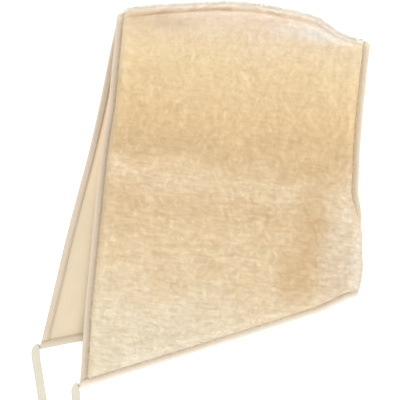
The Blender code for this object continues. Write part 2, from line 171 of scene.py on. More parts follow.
def wander(tree: Tree, place: Socket, size: float, way: float | Socket, detail: float = 1.0) -> Socket:
    """Adds nodes that give a vector which wanders from place to place.

    Args:
        tree: The node tree that takes them.
        place: The place.
        size: Distance over which the vector turns.
        way: How long it gets.
        detail: How many finer turns it has.

    Returns:
        The vector.
    """
    drift = wire(tree, NOISE, place, named={"Scale": 1.0 / size, "Detail": detail}, out="Color")
    drift = wire(tree, VECTOR_MATH, drift, (0.5, 0.5, 0.5), operation="SUBTRACT")
    return wire(tree, VECTOR_MATH, drift, named={"Scale": way}, operation="SCALE")


def new_material(name: str) -> tuple[bpy.types.Material, Tree, bpy.types.Node]:
    """Makes a material.

    Args:
        name: Its name.

    Returns:
        The material, its node tree and its shader.
    """
    material = bpy.data.materials.new(name)
    material.use_nodes = True
    return material, material.node_tree, material.node_tree.nodes["Principled BSDF"]


@dataclass(frozen=True)
class Panel:
    """One half of the strip in plan, from the fold to its free end.

    Its sides lean from the fold's normal by angles in degrees. Its end can bow out, and have its short
    corner drawn back.
    """

    long_side: float
    long_lean: float
    short_side: float
    short_lean: float
    end_bow: float = 0.0
    corner_draw: float = 0.0

    def corner(self, fold_width: float, right: bool) -> Grid:
        """Gives the free corner at the end of one side.

        Args:
            fold_width: Length of the fold.
            right: Whether the side is the short one.

        Returns:
            Its plan point.
        """
        side = self.short_side if right else self.long_side
        lean = math.radians(self.short_lean if right else self.long_lean)
        start = fold_width if right else 0.0
        return np.array((start + side * math.sin(lean), -side * math.cos(lean)))


@dataclass(frozen=True)
class PadShape:
    """How the strip lies: the rule that puts a place u, q, n into the part's frame."""

    # The strip's cut
    fold_width: float = 205.0 * MM
    upper: Panel = Panel(298.5 * MM, 0.9, 200.2 * MM, 4.4, 1.2 * MM, 5.0 * MM)
    lower: Panel = Panel(272.5 * MM, -6.7, 196.5 * MM, -2.9)
    corner_start: float = 0.84
    origin: tuple[float, float] = (93.4275 * MM, -136.2080 * MM)

    # Its layers and its tape
    pile_depth: float = 7.0 * MM
    shoulder: float = 7.0 * MM
    flange: float = 1.0 * MM
    lining: float = 0.6 * MM
    tape: float = 0.6 * MM
    tape_cover: float = 4.0 * MM
    tape_turn: float = 0.2 * MM
    clearance: float = 0.3 * MM
    floor_gap: float = 0.1 * MM

    # The roll of the fold, and the parting in its pile
    roll_radius: float = 6.25 * MM
    fold_bow: float = 15.3 * MM
    bow_skew: float = 1.12
    low_end_start: float = 0.76
    low_end_span: float = 0.2
    low_end_loss: float = 0.8
    low_end_thin: float = 4.0 * MM
    channel_length: float = 150.0 * MM
    parting_angle: float = math.radians(53.0)
    parting_half_angle: float = math.radians(16.0)
    parting_depth: float = 2.4 * MM

    # How the lower panel droops, and the upper one lands beside it
    lower_droop: float = 22.0 * MM
    droop_fade: float = 60.0 * MM
    landing_outside: float = 28.0 * MM
    landing_inside: float = 15.0 * MM

    # The ridge across the upper panel
    ridge_height: float = 2.0 * MM
    ridge_half_width: float = 11.0 * MM
    ridge_from_fold: float = 119.5 * MM
    ridge_slope: float = 0.116

    # The bows of the sides, and the curl of the upper short one
    side_bow: float = 5.2 * MM
    side_swell: float = 8.0 * MM
    corner_tuck: float = 3.5 * MM
    tuck_start: float = 0.86
    long_bow_out: float = 2.6 * MM
    long_bow_span: tuple[float, float, float] = (0.20, 0.38, 0.76)
    long_bow_kept: float = 0.3
    lower_bow_in: float = 2.0 * MM
    lower_bow_until: float = 0.70
    side_fade: int = 4
    curl_start: float = 0.58
    curl_full: float = 0.78
    curl_radius: float = 6.0 * MM
    curl_angle: float = math.radians(78.0)
    swell_width: float = 14.0 * MM
    valley_depth: float = 2.5 * MM
    valley_inset: float = 38.0 * MM
    valley_half_width: float = 8.0 * MM

    # How soon a panel leaves the roll, and the step that slopes are measured over
    join_length: float = 0.08
    step: float = 1e-4

    @property
    def lining_seat(self) -> float:
        """Depth of the lining's inner face."""
        return self.clearance + self.lining

    @property
    def tape_inner_half(self) -> float:
        """Half the gap inside the folded tape."""
        return (self.flange + self.lining_seat) / 2 + self.clearance

    @property
    def tape_middle(self) -> float:
        """The n of the folded tape's middle."""
        return (self.flange - self.lining_seat) / 2

    @property
    def nose_reach(self) -> float:
        """How far the tape stands out past the edge."""
        return self.tape_inner_half + self.tape - self.tape_turn

    @property
    def wool_inset(self) -> float:
        """Distance from the edge to where the wool starts."""
        return self.tape_cover + self.clearance

    @property
    def roll_centre(self) -> float:
        """Height of the fold's axis."""
        return self.pile_depth + self.roll_radius

    def low_end(self, u: Grid) -> Grid:
        """Tells how far the fold has come down towards its short side, from 0 to 1."""
        return smooth_step((np.asarray(u, float) - self.low_end_start) / self.low_end_span)

    def fold_point(self, u: Grid) -> Grid:
        """Gives plan points on the fold's axis.

        Args:
            u: Places across the strip.

        Returns:
            Their plan points.
        """
        u = np.asarray(u, float)
        bow = np.sin(math.pi * np.clip(u, 0.0, 1.0) ** self.bow_skew)
        bow = bow * (1.0 - self.low_end_loss * self.low_end(u))
        return np.stack((u * self.fold_width, self.fold_bow * bow), -1)

    def plan(self, panel: Panel, u: Grid, t: Grid) -> Grid:
        """Gives plan points of a panel, with t from the fold (0) to its end (1).

        Args:
            panel: The panel.
            u: Places across the strip.
            t: Places along the panel, from the fold (0) to its end (1).

        Returns:
            Their plan points.
        """
        left = panel.corner(self.fold_width, False)
        right = panel.corner(self.fold_width, True)
        u = np.asarray(u, float)
        end = left + (right - left) * u[..., None]
        back = panel.corner_draw * smooth_step((u - self.corner_start) / (1.0 - self.corner_start))
        back = back - panel.end_bow * np.sin(math.pi * np.clip(u, 0.0, 1.0))
        end = end + np.stack((np.zeros_like(back), back), -1)
        start = self.fold_point(u)
        return start + (end - start) * np.asarray(t)[..., None]

    def panel_row(self, panel: Panel, t: Grid) -> Grid:
        """Gives the way from the long side to the short one at t."""
        return self.plan(panel, np.ones_like(t), t) - self.plan(panel, np.zeros_like(t), t)

    def side_reach(self, q: Grid, right: bool) -> Grid:
        """Gives the distance from one long edge to the far end of its row at q.

        Args:
            q: Places along the strip.
            right: Whether the side is the short one.

        Returns:
            The distances.
        """
        q = np.asarray(q, float)
        reach = np.full(q.shape, self.fold_width)
        for panel, inside, t in ((self.upper, q > 1.0, q - 1.0), (self.lower, q < 0.0, -q)):
            lean = math.radians(panel.short_lean if right else panel.long_lean)
            side = np.array((math.sin(lean), -math.cos(lean)))
            reach = np.where(inside, np.abs(area_of(side, self.panel_row(panel, t))), reach)
        return reach

    def end_reach(self, panel: Panel, u: Grid) -> Grid:
        """Gives the distance from the fold's axis at u to a free end."""
        left = panel.corner(self.fold_width, False)
        along = unit(panel.corner(self.fold_width, True) - left)
        return np.abs(area_of(along, left - self.fold_point(u)))

    def across(self, inset: Grid | float, q: Grid, right: bool) -> Grid:
        """Gives the u that keeps an inset from one long edge."""
        share = inset / self.side_reach(q, right)
        return 1.0 - share if right else share

    def along(self, inset: Grid | float, u: Grid, upper: bool) -> Grid:
        """Gives the q that keeps an inset from a free end."""
        panel = self.upper if upper else self.lower
        t = 1.0 - inset / self.end_reach(panel, np.clip(u, 0.0, 1.0))
        return 1.0 + t if upper else -t

    def lower_insets(self, point: Grid) -> tuple[Grid, Grid, Grid]:
        """Gives the distances in from the lower panel's long side, short side and free end.

        Args:
            point: Plan points.

        Returns:
            The three distances.
        """
        left = self.lower.corner(self.fold_width, False)
        right = self.lower.corner(self.fold_width, True)
        start = self.fold_point(np.array(0.0))
        finish = self.fold_point(np.array(1.0))
        lines = ((start, left), (right, finish), (left, right))
        long_in, short_in, end_in = (area_of(unit(b - a), point - a) for a, b in lines)
        return long_in, short_in, end_in

    def lower_height(self, point: Grid) -> Grid:
        """Gives the lower panel's height: it droops to the table at its edges.

        Args:
            point: Plan points.

        Returns:
            The heights.
        """
        inside = math.prod(smooth_step(inset / self.lower_droop) for inset in self.lower_insets(point))
        edge = self.flange + self.clearance + self.tape + self.floor_gap
        droop = (1.0 - inside) * smooth_step(-point[..., 1] / self.droop_fade)
        return self.pile_depth - (self.pile_depth - edge) * droop

    def lower_bow(self, u: Grid, t: Grid) -> Grid:
        """Tells how far the lower panel's long side bows in."""
        wave = np.sin(math.pi * np.minimum(t / self.lower_bow_until, 1.0)) ** 2
        return self.lower_bow_in * wave * (1.0 - u) ** self.side_fade

    def curl_share(self, t: Grid) -> Grid:
        """Tells how far the upper short side is curled under, from 0 to 1."""
        return smooth_step((t - self.curl_start) / (self.curl_full - self.curl_start))

    def long_bow(self, t: Grid) -> Grid:
        """Tells how far the upper panel's long side bows out.

        Args:
            t: Places along the panel, from the fold (0) to its end (1).

        Returns:
            The distances.
        """
        start, full, until = self.long_bow_span
        fall = smooth_step((t - until) / (1.0 - until))
        rise = smooth_step((t - start) / (full - start))
        return self.long_bow_out * rise * (1.0 - (1.0 - self.long_bow_kept) * fall)

    def upper_height(self, point: Grid, t: Grid, inset: Grid) -> Grid:
        """Gives the upper panel's height before its curl, with its inset from the short side.

        Args:
            point: Plan points.
            t: Places along the panel, from the fold (0) to its end (1).
            inset: Their distances in from the short side.

        Returns:
            The heights.
        """
        _, right, end = self.lower_insets(point)
        span = self.landing_outside + self.landing_inside
        held = smooth_step((right + self.landing_outside) / span)
        held = held * smooth_step((end + self.landing_outside) / span)
        on_floor = self.lining_seat + self.clearance + self.tape + self.floor_gap
        rest = self.pile_depth + 2 * self.lining_seat + self.tape + 2 * self.clearance
        base = on_floor + (rest - on_floor) * held

        share = self.curl_share(t)
        angle = self.curl_angle
        lip = self.wool_inset + self.nose_reach
        drop = self.curl_radius * (1.0 - math.cos(angle)) + lip * math.sin(angle)
        drop += (self.tape_inner_half + self.tape) * math.cos(angle)
        crest = np.maximum(base, drop + self.floor_gap)
        start = self.curl_radius * angle + self.wool_inset
        base = base + (crest - base) * share * bell(np.maximum(inset - start, 0.0) / self.swell_width)
        valley = bell((inset - self.valley_inset) / self.valley_half_width)
        base = base - self.valley_depth * share * held * valley

        ridge = point[..., 1] + self.ridge_from_fold - self.ridge_slope * point[..., 0]
        base = base + self.ridge_height * held * bell(ridge / self.ridge_half_width)

        fall = self.fold_point(point[..., 0] / self.fold_width)[..., 1] - point[..., 1]
        lift = 1.0 - smooth_step(fall / self.channel_length)
        return base + (self.roll_centre + self.roll_radius - base) * lift

    def upper_face(self, u: Grid, t: Grid) -> Grid:
        """Gives points of the upper panel's face, with its short side curled under.

        Args:
            u: Places across the strip.
            t: Places along the panel, from the fold (0) to its end (1).

        Returns:
            The points.
        """
        reach = self.side_reach(1.0 + np.maximum(t, TINY), True)
        share = self.curl_share(t)
        angle = self.curl_angle * share
        arc = self.curl_radius * angle
        zone = arc + self.wool_inset
        inset = (1.0 - u) * reach
        into = np.maximum(zone - inset, 0.0)
        flat_u = np.minimum(u, 1.0 - zone / reach)

        turned = np.minimum(into / self.curl_radius, angle)
        straight = np.maximum(into - arc, 0.0)
        run = self.curl_radius * np.sin(turned) + straight * np.cos(angle)
        drop = self.curl_radius * (1.0 - np.cos(turned)) + straight * np.sin(angle)

        point = self.plan(self.upper, flat_u, t)
        height = self.upper_height(point, t, np.maximum(inset, zone)) - drop
        shift = self.side_swell * share - self.side_bow * np.sin(math.pi * np.minimum(t, 1.0))
        shift = shift - self.corner_tuck * smooth_step((t - self.tuck_start) / (1.0 - self.tuck_start))
        shift = shift * np.maximum(flat_u, 0.0) ** self.side_fade
        shift = shift - self.long_bow(t) * (1.0 - flat_u) ** self.side_fade
        point = point + self.panel_row(self.upper, t) * (run / reach)[..., None]
        return np.stack((point[..., 0] + shift, point[..., 1], height), -1)

    def roll_normal(self, q: Grid) -> Grid:
        """Gives the direction out of the roll."""
        angle = math.pi * (q - 0.5)
        return np.stack((np.zeros_like(angle), np.cos(angle), np.sin(angle)), -1)

    def face(self, u: Grid, q: Grid) -> Grid:
        """Gives points of the face between fleece and lining, in the strip's own coordinates.

        Args:
            u: Places across the strip.
            q: Places along the strip.

        Returns:
            The points.
        """
        u, q = np.broadcast_arrays(np.asarray(u, float), np.asarray(q, float))
        under = -np.minimum(q, 0.0)
        low = self.plan(self.lower, u, under)
        lower = np.concatenate((low, self.lower_height(low)[..., None]), -1)
        lower[..., 0] += self.lower_bow(u, under)
        past = np.maximum(q - 1.0, 0.0)
        crest = np.concatenate((self.fold_point(u), np.full(u.shape + (1,), self.roll_centre)), -1)
        crest = crest + np.array((0.0, 0.0, self.roll_radius)) - self.upper_face(u, np.zeros_like(past))
        upper = self.upper_face(u, past) + crest * (1.0 - smooth_step(past / self.join_length))[..., None]
        axis = self.fold_point(u)
        roll = np.concatenate((axis, np.full(u.shape + (1,), self.roll_centre)), -1)
        roll = roll + self.roll_normal(np.clip(q, 0.0, 1.0)) * self.roll_radius
        out = np.where((q > 1.0)[..., None], upper, roll)
        return np.where((q < 0.0)[..., None], lower, out)

    def normal(self, u: Grid, q: Grid) -> Grid:
        """Gives the direction from the lining into the fleece.

        Args:
            u: Places across the strip.
            q: Places along the strip.

        Returns:
            The directions, 1 long.
        """
        u, q = np.broadcast_arrays(np.asarray(u, float), np.asarray(q, float))
        on_panel = np.maximum(q, 1.0)
        along = self.face(u, on_panel + self.step) - self.face(u, np.maximum(on_panel - self.step, 1.0))
        aside = self.face(u + self.step, on_panel) - self.face(u - self.step, on_panel)
        bent = unit(np.cross(along, aside))
        return np.where((q > 1.0)[..., None], bent, self.roll_normal(np.clip(q, 0.0, 1.0)))

    def at(self, u: Grid, q: Grid, n: Grid | float) -> Grid:
        """Puts places of the pad into the part's frame.

        Args:
            u: Places across the strip.
            q: Places along the strip.
            n: Distances from the face between fleece and lining.

        Returns:
            Their points, in metres.
        """
        points = self.face(u, q) + self.normal(u, q) * np.asarray(n, float)[..., None]
        return points - np.array((*self.origin, 0.0))

    def wool(self, u: Grid, q: Grid, inset: float, rim: float) -> tuple[Grid, Grid]:
        """Gives the wool's depth, and how freely it stands from 0 at a tape to 1.

        Args:
            u: Places across the strip.
            q: Places along the strip.
            inset: Distance in from the edge at which it starts.
            rim: Its depth there.

        Returns:
            The depths in metres, and the shares.
        """
        end = np.where(q > 1.0, (2.0 - q) * self.end_reach(self.upper, u), self.fold_width)
        end = np.where(q < 0.0, (1.0 + q) * self.end_reach(self.lower, u), end)
        rise = 1.0
        for edge in (u * self.side_reach(q, False), (1.0 - u) * self.side_reach(q, True), end):
            x = np.clip((edge - inset) / self.shoulder, 0.0, 1.0)
            rise = rise * np.sqrt(1.0 - (1.0 - x) ** 2)
        off = (math.pi * (q - 0.5) - self.parting_angle) / self.parting_half_angle
        roll = self.pile_depth - self.parting_depth * bell(off)
        roll = roll - self.low_end_thin * self.low_end(u) * np.sin(math.pi * np.clip(q, 0.0, 1.0))
        full = np.where((q >= 0.0) & (q <= 1.0), roll, self.pile_depth)
        full = np.where(q < 0.0, self.face(u, q)[..., 2], full)
        low = np.minimum(rim, full)
        return low + (full - low) * rise, rise


class Mesher:
    """Turns grids of points into meshes and objects of the part."""

    @staticmethod
    def link(name: str, data: bpy.types.ID) -> Piece:
        """Puts a mesh, a lamp or a camera into the scene as an object at the origin."""
        piece = bpy.data.objects.new(name, data)
        bpy.context.scene.collection.objects.link(piece)
        return piece

    @staticmethod
    def closed(name: str, points: Grid, faces: list[list[int]]) -> bpy.types.Mesh:
        """Makes a closed mesh, turns its faces outwards and shades it smooth.

        Args:
            name: The mesh's name.
            points: Its points, as a grid or a list.
            faces: Each face's points, by number.

        Returns:
            The mesh.
        """
        mesh = bpy.data.meshes.new(name)
        mesh.from_pydata(points.reshape(-1, 3).tolist(), [], faces)
        work = bmesh.new()
        work.from_mesh(mesh)
        bmesh.ops.recalc_face_normals(work, faces=work.faces[:])
        if work.calc_volume(signed=True) < 0.0:
            bmesh.ops.reverse_faces(work, faces=work.faces[:])
        work.to_mesh(mesh)
        work.free()
        mesh.shade_smooth()
        return mesh

    @staticmethod
    def slab(name: str, far: Grid, near: Grid, step: int = 1) -> bpy.types.Mesh:
        """Makes a closed slab between two grids.

        Args:
            name: The mesh's name.
            far: The outer grid's points, as rows by columns.
            near: The inner grid's points, at every step-th row and column of the outer one.
            step: How many of the outer grid's squares an inner one spans each way.

        Returns:
            The mesh, outer points first.
        """
        rows, columns = far.shape[:2]
        near_columns = near.shape[1]
        base = rows * columns

        def outer(row: int, column: int) -> int:
            """Gives the number of an outer point."""
            return row * columns + column

        def inner(row: int, column: int) -> int:
            """Gives the number of the inner point beneath an outer one."""
            return base + (row // step) * near_columns + column // step

        row, column = np.meshgrid(np.arange(rows - 1), np.arange(columns - 1), indexing="ij")
        first = (row * columns + column).ravel()
        faces = np.stack((first, first + columns, first + columns + 1, first + 1), -1).tolist()
        row, column = np.meshgrid(np.arange(near.shape[0] - 1), np.arange(near_columns - 1), indexing="ij")
        first = (base + row * near_columns + column).ravel()
        faces += np.stack((first, first + 1, first + near_columns + 1, first + near_columns), -1).tolist()
        for at in range(0, columns - 1, step):
            for edge, turn in ((0, 1), (rows - 1, -1)):
                wall = [inner(edge, at), inner(edge, at + step)]
                wall += [outer(edge, column) for column in range(at + step, at - 1, -1)]
                faces.append(wall[::turn][::-1])
        for at in range(0, rows - 1, step):
            for edge, turn in ((0, -1), (columns - 1, 1)):
                wall = [inner(at, edge), inner(at + step, edge)]
                wall += [outer(row, edge) for row in range(at + step, at - 1, -1)]
                faces.append(wall[::turn][::-1])
        return Mesher.closed(name, np.concatenate((far.reshape(-1, 3), near.reshape(-1, 3))), faces)

    @staticmethod
    def tube(name: str, rings: Grid) -> bpy.types.Mesh:
        """Makes a closed tube from rings of points, as rings by points round each.

        Args:
            name: The mesh's name.
            rings: The points.

        Returns:
            The mesh, with its two ends closed.
        """
        count, round_ = rings.shape[:2]
        ring, at = np.meshgrid(np.arange(count - 1), np.arange(round_), indexing="ij")
        ring, at = ring.ravel(), at.ravel()
        after = (at + 1) % round_
        base, above = ring * round_, (ring + 1) * round_
        faces = np.stack((base + at, base + after, above + after, above + at), -1).tolist()
        for first in (0, (count - 1) * round_):
            last = first + round_ - 1
            faces += [[first + i, first + i + 1, last - i - 1, last - i] for i in range(round_ // 2 - 1)]
        return Mesher.closed(name, rings, faces)

    @staticmethod
    def clad(mesh: bpy.types.Mesh, across: Grid, along: Grid, material: bpy.types.Material) -> Piece:
        """Dresses a mesh in cloth, with a UV map that measures the cloth in metres.

        Args:
            mesh: The mesh, which also gives the piece's name.
            across: Each vertex's place across the cloth, as a grid or a row.
            along: Its place along the cloth, as a grid or a column.
            material: The cloth.

        Returns:
            The piece.
        """
        places = np.stack(np.broadcast_arrays(across, along), -1).reshape(-1, 2)
        corner = np.zeros(len(mesh.loops), np.int32)
        mesh.loops.foreach_get("vertex_index", corner)
        layer = mesh.uv_layers.new(name="cloth")
        layer.uv.foreach_set("vector", places[corner].astype(np.float32).ravel())
        mesh.materials.append(material)
        return Mesher.link(mesh.name, mesh)

    @staticmethod
    def store(mesh: bpy.types.Mesh, name: str, values: Grid) -> None:
        """Stores a value or a vector on each vertex."""
        kind, field = ("FLOAT", "value") if values.ndim == 1 else ("FLOAT_VECTOR", "vector")
        attribute = mesh.attributes.new(name, kind, "POINT")
        attribute.data.foreach_set(field, values.astype(np.float32).ravel())

    @staticmethod
    def grown(source: Piece, tree: Tree, values: Mapping[str, Any], name: str) -> Piece:
        """Runs a geometry node tree on a piece and keeps the result as a plain mesh.

        Args:
            source: The piece that the tree reads.
            tree: The tree.
            values: A value for each of the tree's named inputs.
            name: The new piece's name.

        Returns:
            The new piece, without a modifier.
        """
        modifier = source.modifiers.new("grow", "NODES")
        modifier.node_group = tree
        for item in tree.interface.items_tree:
            if item.item_type == "SOCKET" and item.in_out == "INPUT" and item.name in values:
                modifier[item.identifier] = values[item.name]
        source.update_tag()
        graph = bpy.context.evaluated_depsgraph_get()
        mesh = bpy.data.meshes.new_from_object(source.evaluated_get(graph), depsgraph=graph)
        mesh.name = name
        source.modifiers.remove(modifier)
        return Mesher.link(name, mesh)

    @staticmethod
    def forget(mesh: bpy.types.Mesh, names: Sequence[str]) -> None:
        """Removes attributes that only the making needed."""
        for name in names:
            if name in mesh.attributes:
                mesh.attributes.remove(mesh.attributes[name])


def new_tree(name: str, sockets: Mapping[str, Any]) -> tuple[Tree, Any]:
    """Makes an empty geometry node tree with named inputs.

    Args:
        name: The tree's name.
        sockets: Each input's value, or None for a material.

    Returns:
        The tree, and the outputs of its group input node.
    """
    tree = bpy.data.node_groups.new(name, "GeometryNodeTree")
    tree.is_modifier = True
    tree.interface.new_socket("Geometry", in_out="OUTPUT", socket_type="NodeSocketGeometry")
    tree.interface.new_socket("Geometry", in_out="INPUT", socket_type="NodeSocketGeometry")
    for label, value in sockets.items():
        kind = "NodeSocket" + SOCKET_KINDS[type(value)]
        socket = tree.interface.new_socket(label, in_out="INPUT", socket_type=kind)
        if value is not None:
            socket.default_value = value
    return tree, tree.nodes.new("NodeGroupInput").outputs


def end_tree(tree: Tree, geometry: Socket, material: Socket) -> None:
    """Ends a tree in real geometry, pressed flat where it meets the table, that wears its material.

    Args:
        tree: The node tree.
        geometry: What it has built.
        material: What that wears.
    """
    add = partial(wire, tree)
    real = add("GeometryNodeRealizeInstances", geometry)
    place = add("GeometryNodeInputPosition")
    pressed = add(VECTOR_MATH, place, (-1.0, -1.0, TABLE_GAP), operation="MAXIMUM")
    kept = add("GeometryNodeSetPosition", real, named={"Position": pressed})
    smooth = add("GeometryNodeSetShadeSmooth", kept)
    dressed = add("GeometryNodeSetMaterial", smooth, named={"Material": material})
    tree.links.new(dressed, tree.nodes.new("NodeGroupOutput").inputs[0])


@dataclass(frozen=True)
class PaintedPatch:
    """A soft patch of painted light, in a paler tone, or of painted shade, in a darker one, centred on a
    place and fading out at its radii.
    """

    colour: str
    centre: tuple[float, float]
    radii: tuple[float, float]
    strength: float


@dataclass(frozen=True)
class WoolFinish:
    """Undyed sheep's wool, carded and set in a knitted back, with its pile brushed.

    Undyed wool is warm cream, and it has no gloss but a faint sheen at grazing angles. Painted shade darkens
    the feet of its locks, so their tips are paler. The tone drifts along the strip, as it does in a pressed
    and aired fleece, and painted light and shade lie in it besides.

    Attributes:
        name: The material's name.
        bands: The wool's tone at heights along Y, from the free end to the fold, with painted light and shade
            in it. It is paler towards the fold and at the free end, lighter on the ridge across the upper
            panel, and darker in bands on either side of that ridge.
        painted_patches: Patches of painted light and painted shade. Light lies on the fold's crest towards
            the short side, at the long corner of the upper free end, and on the short side's curl and its
            outer edge. Shade lies in the valley beside that curl, along the long side, and in the crease by
            the fold at the long side.
        root: The tone painted along the fold's parting: the roots' own yellower tone, darkened as painted
            shade in the parting.
        edge: Painted light, near white, on the loose fibres round the outside of the fold.
        painted_root_shade: Painted shade at the foot of a lock, as a share of its tip's tone. The skin under
            the locks takes it too.
        drift: How far the bands wander from their heights.
        drift_size: Distance over which they do.
        tone_drift: How far a patch wanders beside a band.
        tone_fade: Where a patch starts and is complete, in its radii.
        mottle: Size of the patches that locks of one fleece differ in.
        fleck: Size of the flecks between single locks.
        warm: The tone of those flecks, where the light has passed through more wool.
        warmth: How strongly they show low down and by the fold.
        smooth_from: Heights along Y between which that changes.
        stretch: How much the patches are drawn out across the strip, where the pile is brushed.
        strand: Width of a strand of the felted under-wool, a few real fibres together.
        strand_stretch: How much the strands are drawn out across the strip.
        strand_curl: Size of the curls in the strands.
        strand_bend: How far the curls carry a strand aside, one layer each way.
        strand_edge: How softly a strand ends, as a share of the noise that draws it.
        finer: How fine the second layer's strands are beside the first one's.
        least: How dark the darkest patches and flecks are, and the painted shade in the gaps between strands.
        relief: Height of the strands.
        own_light: How much a fibre is lit by the way it faces. Light passes through wool, so for the rest a
            fibre is lit as the pile round it is, along the direction stored on it.
        see_through: Share of the light that passes through a fibre and on into the pile.
    """

    name: str = "undyed_wool_pile"
    # Wool tone with painted light and shade: paler towards the fold and at the free end, lighter on the ridge
    # across the upper panel, darker in bands on either side of it.
    bands: tuple[tuple[float, str], ...] = (
        (-150.0 * MM, "#FFFAEA"),
        (-95.0 * MM, "#FFF3DB"),
        (-62.0 * MM, "#FBE9C8"),
        (-30.0 * MM, "#FAE6C4"),
        (-8.0 * MM, "#F5DDB8"),
        (6.0 * MM, "#FBE7C6"),
        (17.0 * MM, "#FDEBCA"),
        (27.0 * MM, "#F9E3BF"),
        (35.0 * MM, "#F1D8B0"),
        (46.0 * MM, "#F3D9AF"),
        (66.0 * MM, "#F9DEB2"),
        (108.0 * MM, "#FFE9BF"),
        (133.0 * MM, "#FFECCC"),
        (150.0 * MM, "#FFEEDA"),
    )
    painted_patches: tuple[PaintedPatch, ...] = (
        # Painted light: near white on the fold's crest towards the short side.
        PaintedPatch("#FFFAF2", (76.0 * MM, 146.0 * MM), (38.0 * MM, 8.5 * MM), 0.85),
        # Painted light: paler at the long corner of the upper panel's free end.
        PaintedPatch("#FFF6DE", (-92.0 * MM, -125.0 * MM), (40.0 * MM, 55.0 * MM), 0.7),
        # Painted light: paler on the ridge of the short side's curl.
        PaintedPatch("#FAECD6", (114.0 * MM, -36.0 * MM), (23.0 * MM, 80.0 * MM), 0.95),
        # Painted shade: darker in the valley inside that curl.
        PaintedPatch("#E6C89C", (84.0 * MM, 0.0 * MM), (15.0 * MM, 38.0 * MM), 0.4),
        # Painted light: near white along the outer edge of the curl.
        PaintedPatch("#FFFBF0", (127.0 * MM, -40.0 * MM), (9.0 * MM, 84.0 * MM), 0.65),
        # Painted shade: darker in the lower part of the valley.
        PaintedPatch("#E8CB9F", (77.0 * MM, -51.0 * MM), (18.0 * MM, 32.0 * MM), 0.7),
        # Painted shade: darker along the long side.
        PaintedPatch("#E3D2B5", (-94.0 * MM, 20.0 * MM), (11.0 * MM, 110.0 * MM), 0.75),
        # Painted shadow along the crease below the fold, by the long side.
        PaintedPatch("#E6D0AD", (-66.0 * MM, 143.0 * MM), (44.0 * MM, 9.0 * MM), 0.5),
    )
    root: str = "#DCB98C"
    edge: str = "#FFF7EC"
    painted_root_shade: float = 0.97
    drift: float = 36.0 * MM
    drift_size: float = 45.0 * MM
    tone_drift: float = 0.25
    tone_fade: tuple[float, float] = (1.3, 0.3)
    mottle: float = 10.0 * MM
    fleck: float = 2.4 * MM
    warm: str = "#E6BE88"
    warmth: tuple[float, float] = (0.32, 0.12)
    smooth_from: tuple[float, float] = (30.0 * MM, 105.0 * MM)
    stretch: float = 0.25
    strand: float = 0.75 * MM
    strand_stretch: float = 0.35
    strand_curl: float = 4.0 * MM
    strand_bend: float = 5.0 * MM
    strand_edge: float = 0.14
    finer: float = 0.7
    least: tuple[float, float, float] = (0.97, 0.96, 0.97)
    relief: float = 0.3 * MM
    own_light: float = 0.25
    see_through: float = 0.3

    def build(self) -> bpy.types.Material:
        """Makes the material, whose tone follows Object coordinates and each lock's length.

        Returns:
            The material.
        """
        material, tree, shader = new_material(self.name)
        add = partial(wire, tree)
        place = add("ShaderNodeTexCoord", out="Object")
        drift = wander(tree, place, self.drift_size, self.drift, 2.0)
        wandered = add(VECTOR_MATH, place, drift, operation="ADD")
        part = (self.tone_drift,) * 3
        nearby = add(VECTOR_MATH, drift, part, place, operation="MULTIPLY_ADD")

        low, high = self.bands[0][0], self.bands[-1][0]
        height = add("ShaderNodeSeparateXYZ", wandered, out="Y")
        level = add(MAP_RANGE, height, low, high)
        stops = [((at - low) / (high - low), linear(tone)) for at, tone in self.bands]
        colour = add("ShaderNodeValToRGB", level, stops=stops)
        layers = []
        # Each patch paints light or shade into the wool.
        for tone in self.painted_patches:
            away = add(VECTOR_MATH, nearby, (*tone.centre, 0.0), operation="SUBTRACT")
            scale = (1.0 / tone.radii[0], 1.0 / tone.radii[1], 0.0)
            away = add(VECTOR_MATH, away, scale, operation="MULTIPLY")
            far = add(VECTOR_MATH, away, operation="LENGTH", out="Value")
            ends = (*self.tone_fade, 0.0, tone.strength)
            share = add(MAP_RANGE, far, *ends, interpolation_type="SMOOTHSTEP")
            layers.append((share, tone.colour))

        brushed = add(VECTOR_MATH, place, (self.stretch, 1.0, 1.0), operation="MULTIPLY")
        patch = add(NOISE, brushed, named={"Scale": 1.0 / self.mottle, "Detail": 3.0})
        fleck = add(NOISE, brushed, named={"Scale": 1.0 / self.fleck, "Detail": 2.0})
        strands = 0.0
        for turn, width in ((self.strand_bend, self.strand), (-self.strand_bend, self.strand * self.finer)):
            bend = wander(tree, place, self.strand_curl, turn)
            laid = add(VECTOR_MATH, place, bend, operation="ADD")
            drawn = (self.strand_stretch, 1.0, 1.0)
            laid = add(VECTOR_MATH, laid, drawn, operation="MULTIPLY")
            line = add(NOISE, laid, named={"Scale": 1.0 / width, "Detail": 1.0})
            line = add(MATH, line, 0.5, operation="SUBTRACT")
            line = add(MATH, line, operation="ABSOLUTE")
            line = add(MAP_RANGE, line, 0.0, self.strand_edge, 1.0, 0.0)
            strands = add(MATH, strands, line, operation="MAXIMUM")

        warmth = add(MAP_RANGE, height, *self.smooth_from, *self.warmth)
        warmed = add(MAP_RANGE, fleck, 0.36, 0.64, 1.0, 0.0)
        warmed = add(MATH, warmed, warmth, operation="MULTIPLY")
        layers.append((warmed, self.warm))
        # parting_roots_and_shade: the roots' tone with painted shade along the fold's parting.
        # rim: painted light, near white, on the fibres round the outside of the fold.
        for name, tone in (("rim", self.edge), ("parting_roots_and_shade", self.root)):
            layers.append((add("ShaderNodeAttribute", attribute_name=name, out="Fac"), tone))
        for share, tone in layers:
            mix = {"Factor": share, "A": colour, "B": linear(tone)}
            colour = add(MIX, named=mix, data_type="RGBA", out="Result")

        # Painted shade: the feet of the locks, and the skin between them, are darker than the tips.
        tip = add("ShaderNodeAttribute", attribute_name="tip", out="Fac")
        shade = add(MAP_RANGE, tip, 0.0, 1.0, self.painted_root_shade, 1.0)
